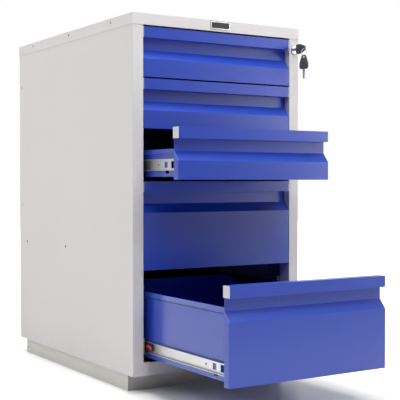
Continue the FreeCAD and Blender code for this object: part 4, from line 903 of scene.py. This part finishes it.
def lamp(name, place, target, size, watts, card=False):
    """A rectangular soft box that lights the paint, or a card that only shows in gloss."""
    data = bpy.data.lights.new(name, "AREA")
    data.shape = "RECTANGLE"
    data.size, data.size_y = size
    data.energy = watts
    obj = bpy.data.objects.new(name, data)
    bpy.context.scene.collection.objects.link(obj)
    obj.visible_diffuse = not card
    obj.visible_glossy = card
    obj.visible_camera = False
    aim(obj, place, Vector(target) - Vector(place))


BODY_MIDDLE = (0.0, -0.3, 0.45)
LEFT_SIDE = (-0.2, 0.0, 0.45)
RIGHT_SIDE = (0.2, 0.0, 0.45)
CARD_CENTRE = -0.4
CARD_DISTANCE = 2.4
lamp("overhead_soft_box", (0.0, -0.9, 2.9), BODY_MIDDLE, (2.0, 1.4), 70)
lamp("overhead_card", (0.0, -0.9, 2.85), BODY_MIDDLE, (2.0, 1.4), 11, card=True)
lamp("high_far_soft_box", (0.3, -3.6, 3.6), (0.0, -0.3, 0.4), (3.0, 2.0), 95)
lamp("top_front_card", (0.3, -2.1, 2.4), BODY_MIDDLE, (2.4, 1.2), 23, card=True)
lamp("top_left_soft_box", (-1.6, -1.6, 2.4), BODY_MIDDLE, (1.6, 1.4), 12)
lamp("left_soft_box", (-2.4, 0.45, 1.4), LEFT_SIDE, (1.7, 2.2), 26)
lamp("left_rear_soft_box", (-2.2, 1.3, 1.2), LEFT_SIDE, (1.6, 1.6), 8)
lamp("right_rear_soft_box", (2.6, 1.7, 1.7), RIGHT_SIDE, (2.0, 2.0), 24)
lamp("left_rear_card", (-1.55, 1.75, 0.23), (-0.19, -0.45, 0.23), (1.2, 0.42), 2.4, card=True)
lamp("floor_card", (0.36, -1.12, 0.012), (0.36, -1.12, 2.0), (0.8, 0.34), 0.45, card=True)
for name, azimuth, width, low, high, watts in (
    ("front_card", 34, 0.75, 0.70, 1.80, 2.0),
    ("right_card_near", 44, 0.45, 0.55, 1.60, 4.6),
    ("right_card_middle", 54, 0.50, 0.25, 0.80, 9.0),
    ("right_card_high", 62, 0.60, 0.60, 1.60, 27.0),
    ("right_card_low", 60, 0.60, 0.02, 0.50, 6.0),
):
    turn = math.radians(azimuth)
    x, y, z = CARD_DISTANCE * math.sin(turn), CARD_CENTRE - CARD_DISTANCE * math.cos(turn), (low + high) / 2
    lamp(name, (x, y, z), (0.0, CARD_CENTRE, z), (width, high - low), watts, card=True)

CAMERA_PLACE = (-1.2349, -2.2214, 0.4749)
CAMERA_WAY = (0.5300, 0.8478, -0.01955)
LENS_MM = 87.3
SENSOR_MM = 36.0
camera_data = bpy.data.cameras.new("camera")
camera_data.lens = LENS_MM
camera_data.sensor_width = SENSOR_MM
camera = bpy.data.objects.new("camera", camera_data)
bpy.context.scene.collection.objects.link(camera)
aim(camera, CAMERA_PLACE, CAMERA_WAY)
bpy.context.scene.camera = camera
bpy.context.scene.view_settings.view_transform = "Standard"
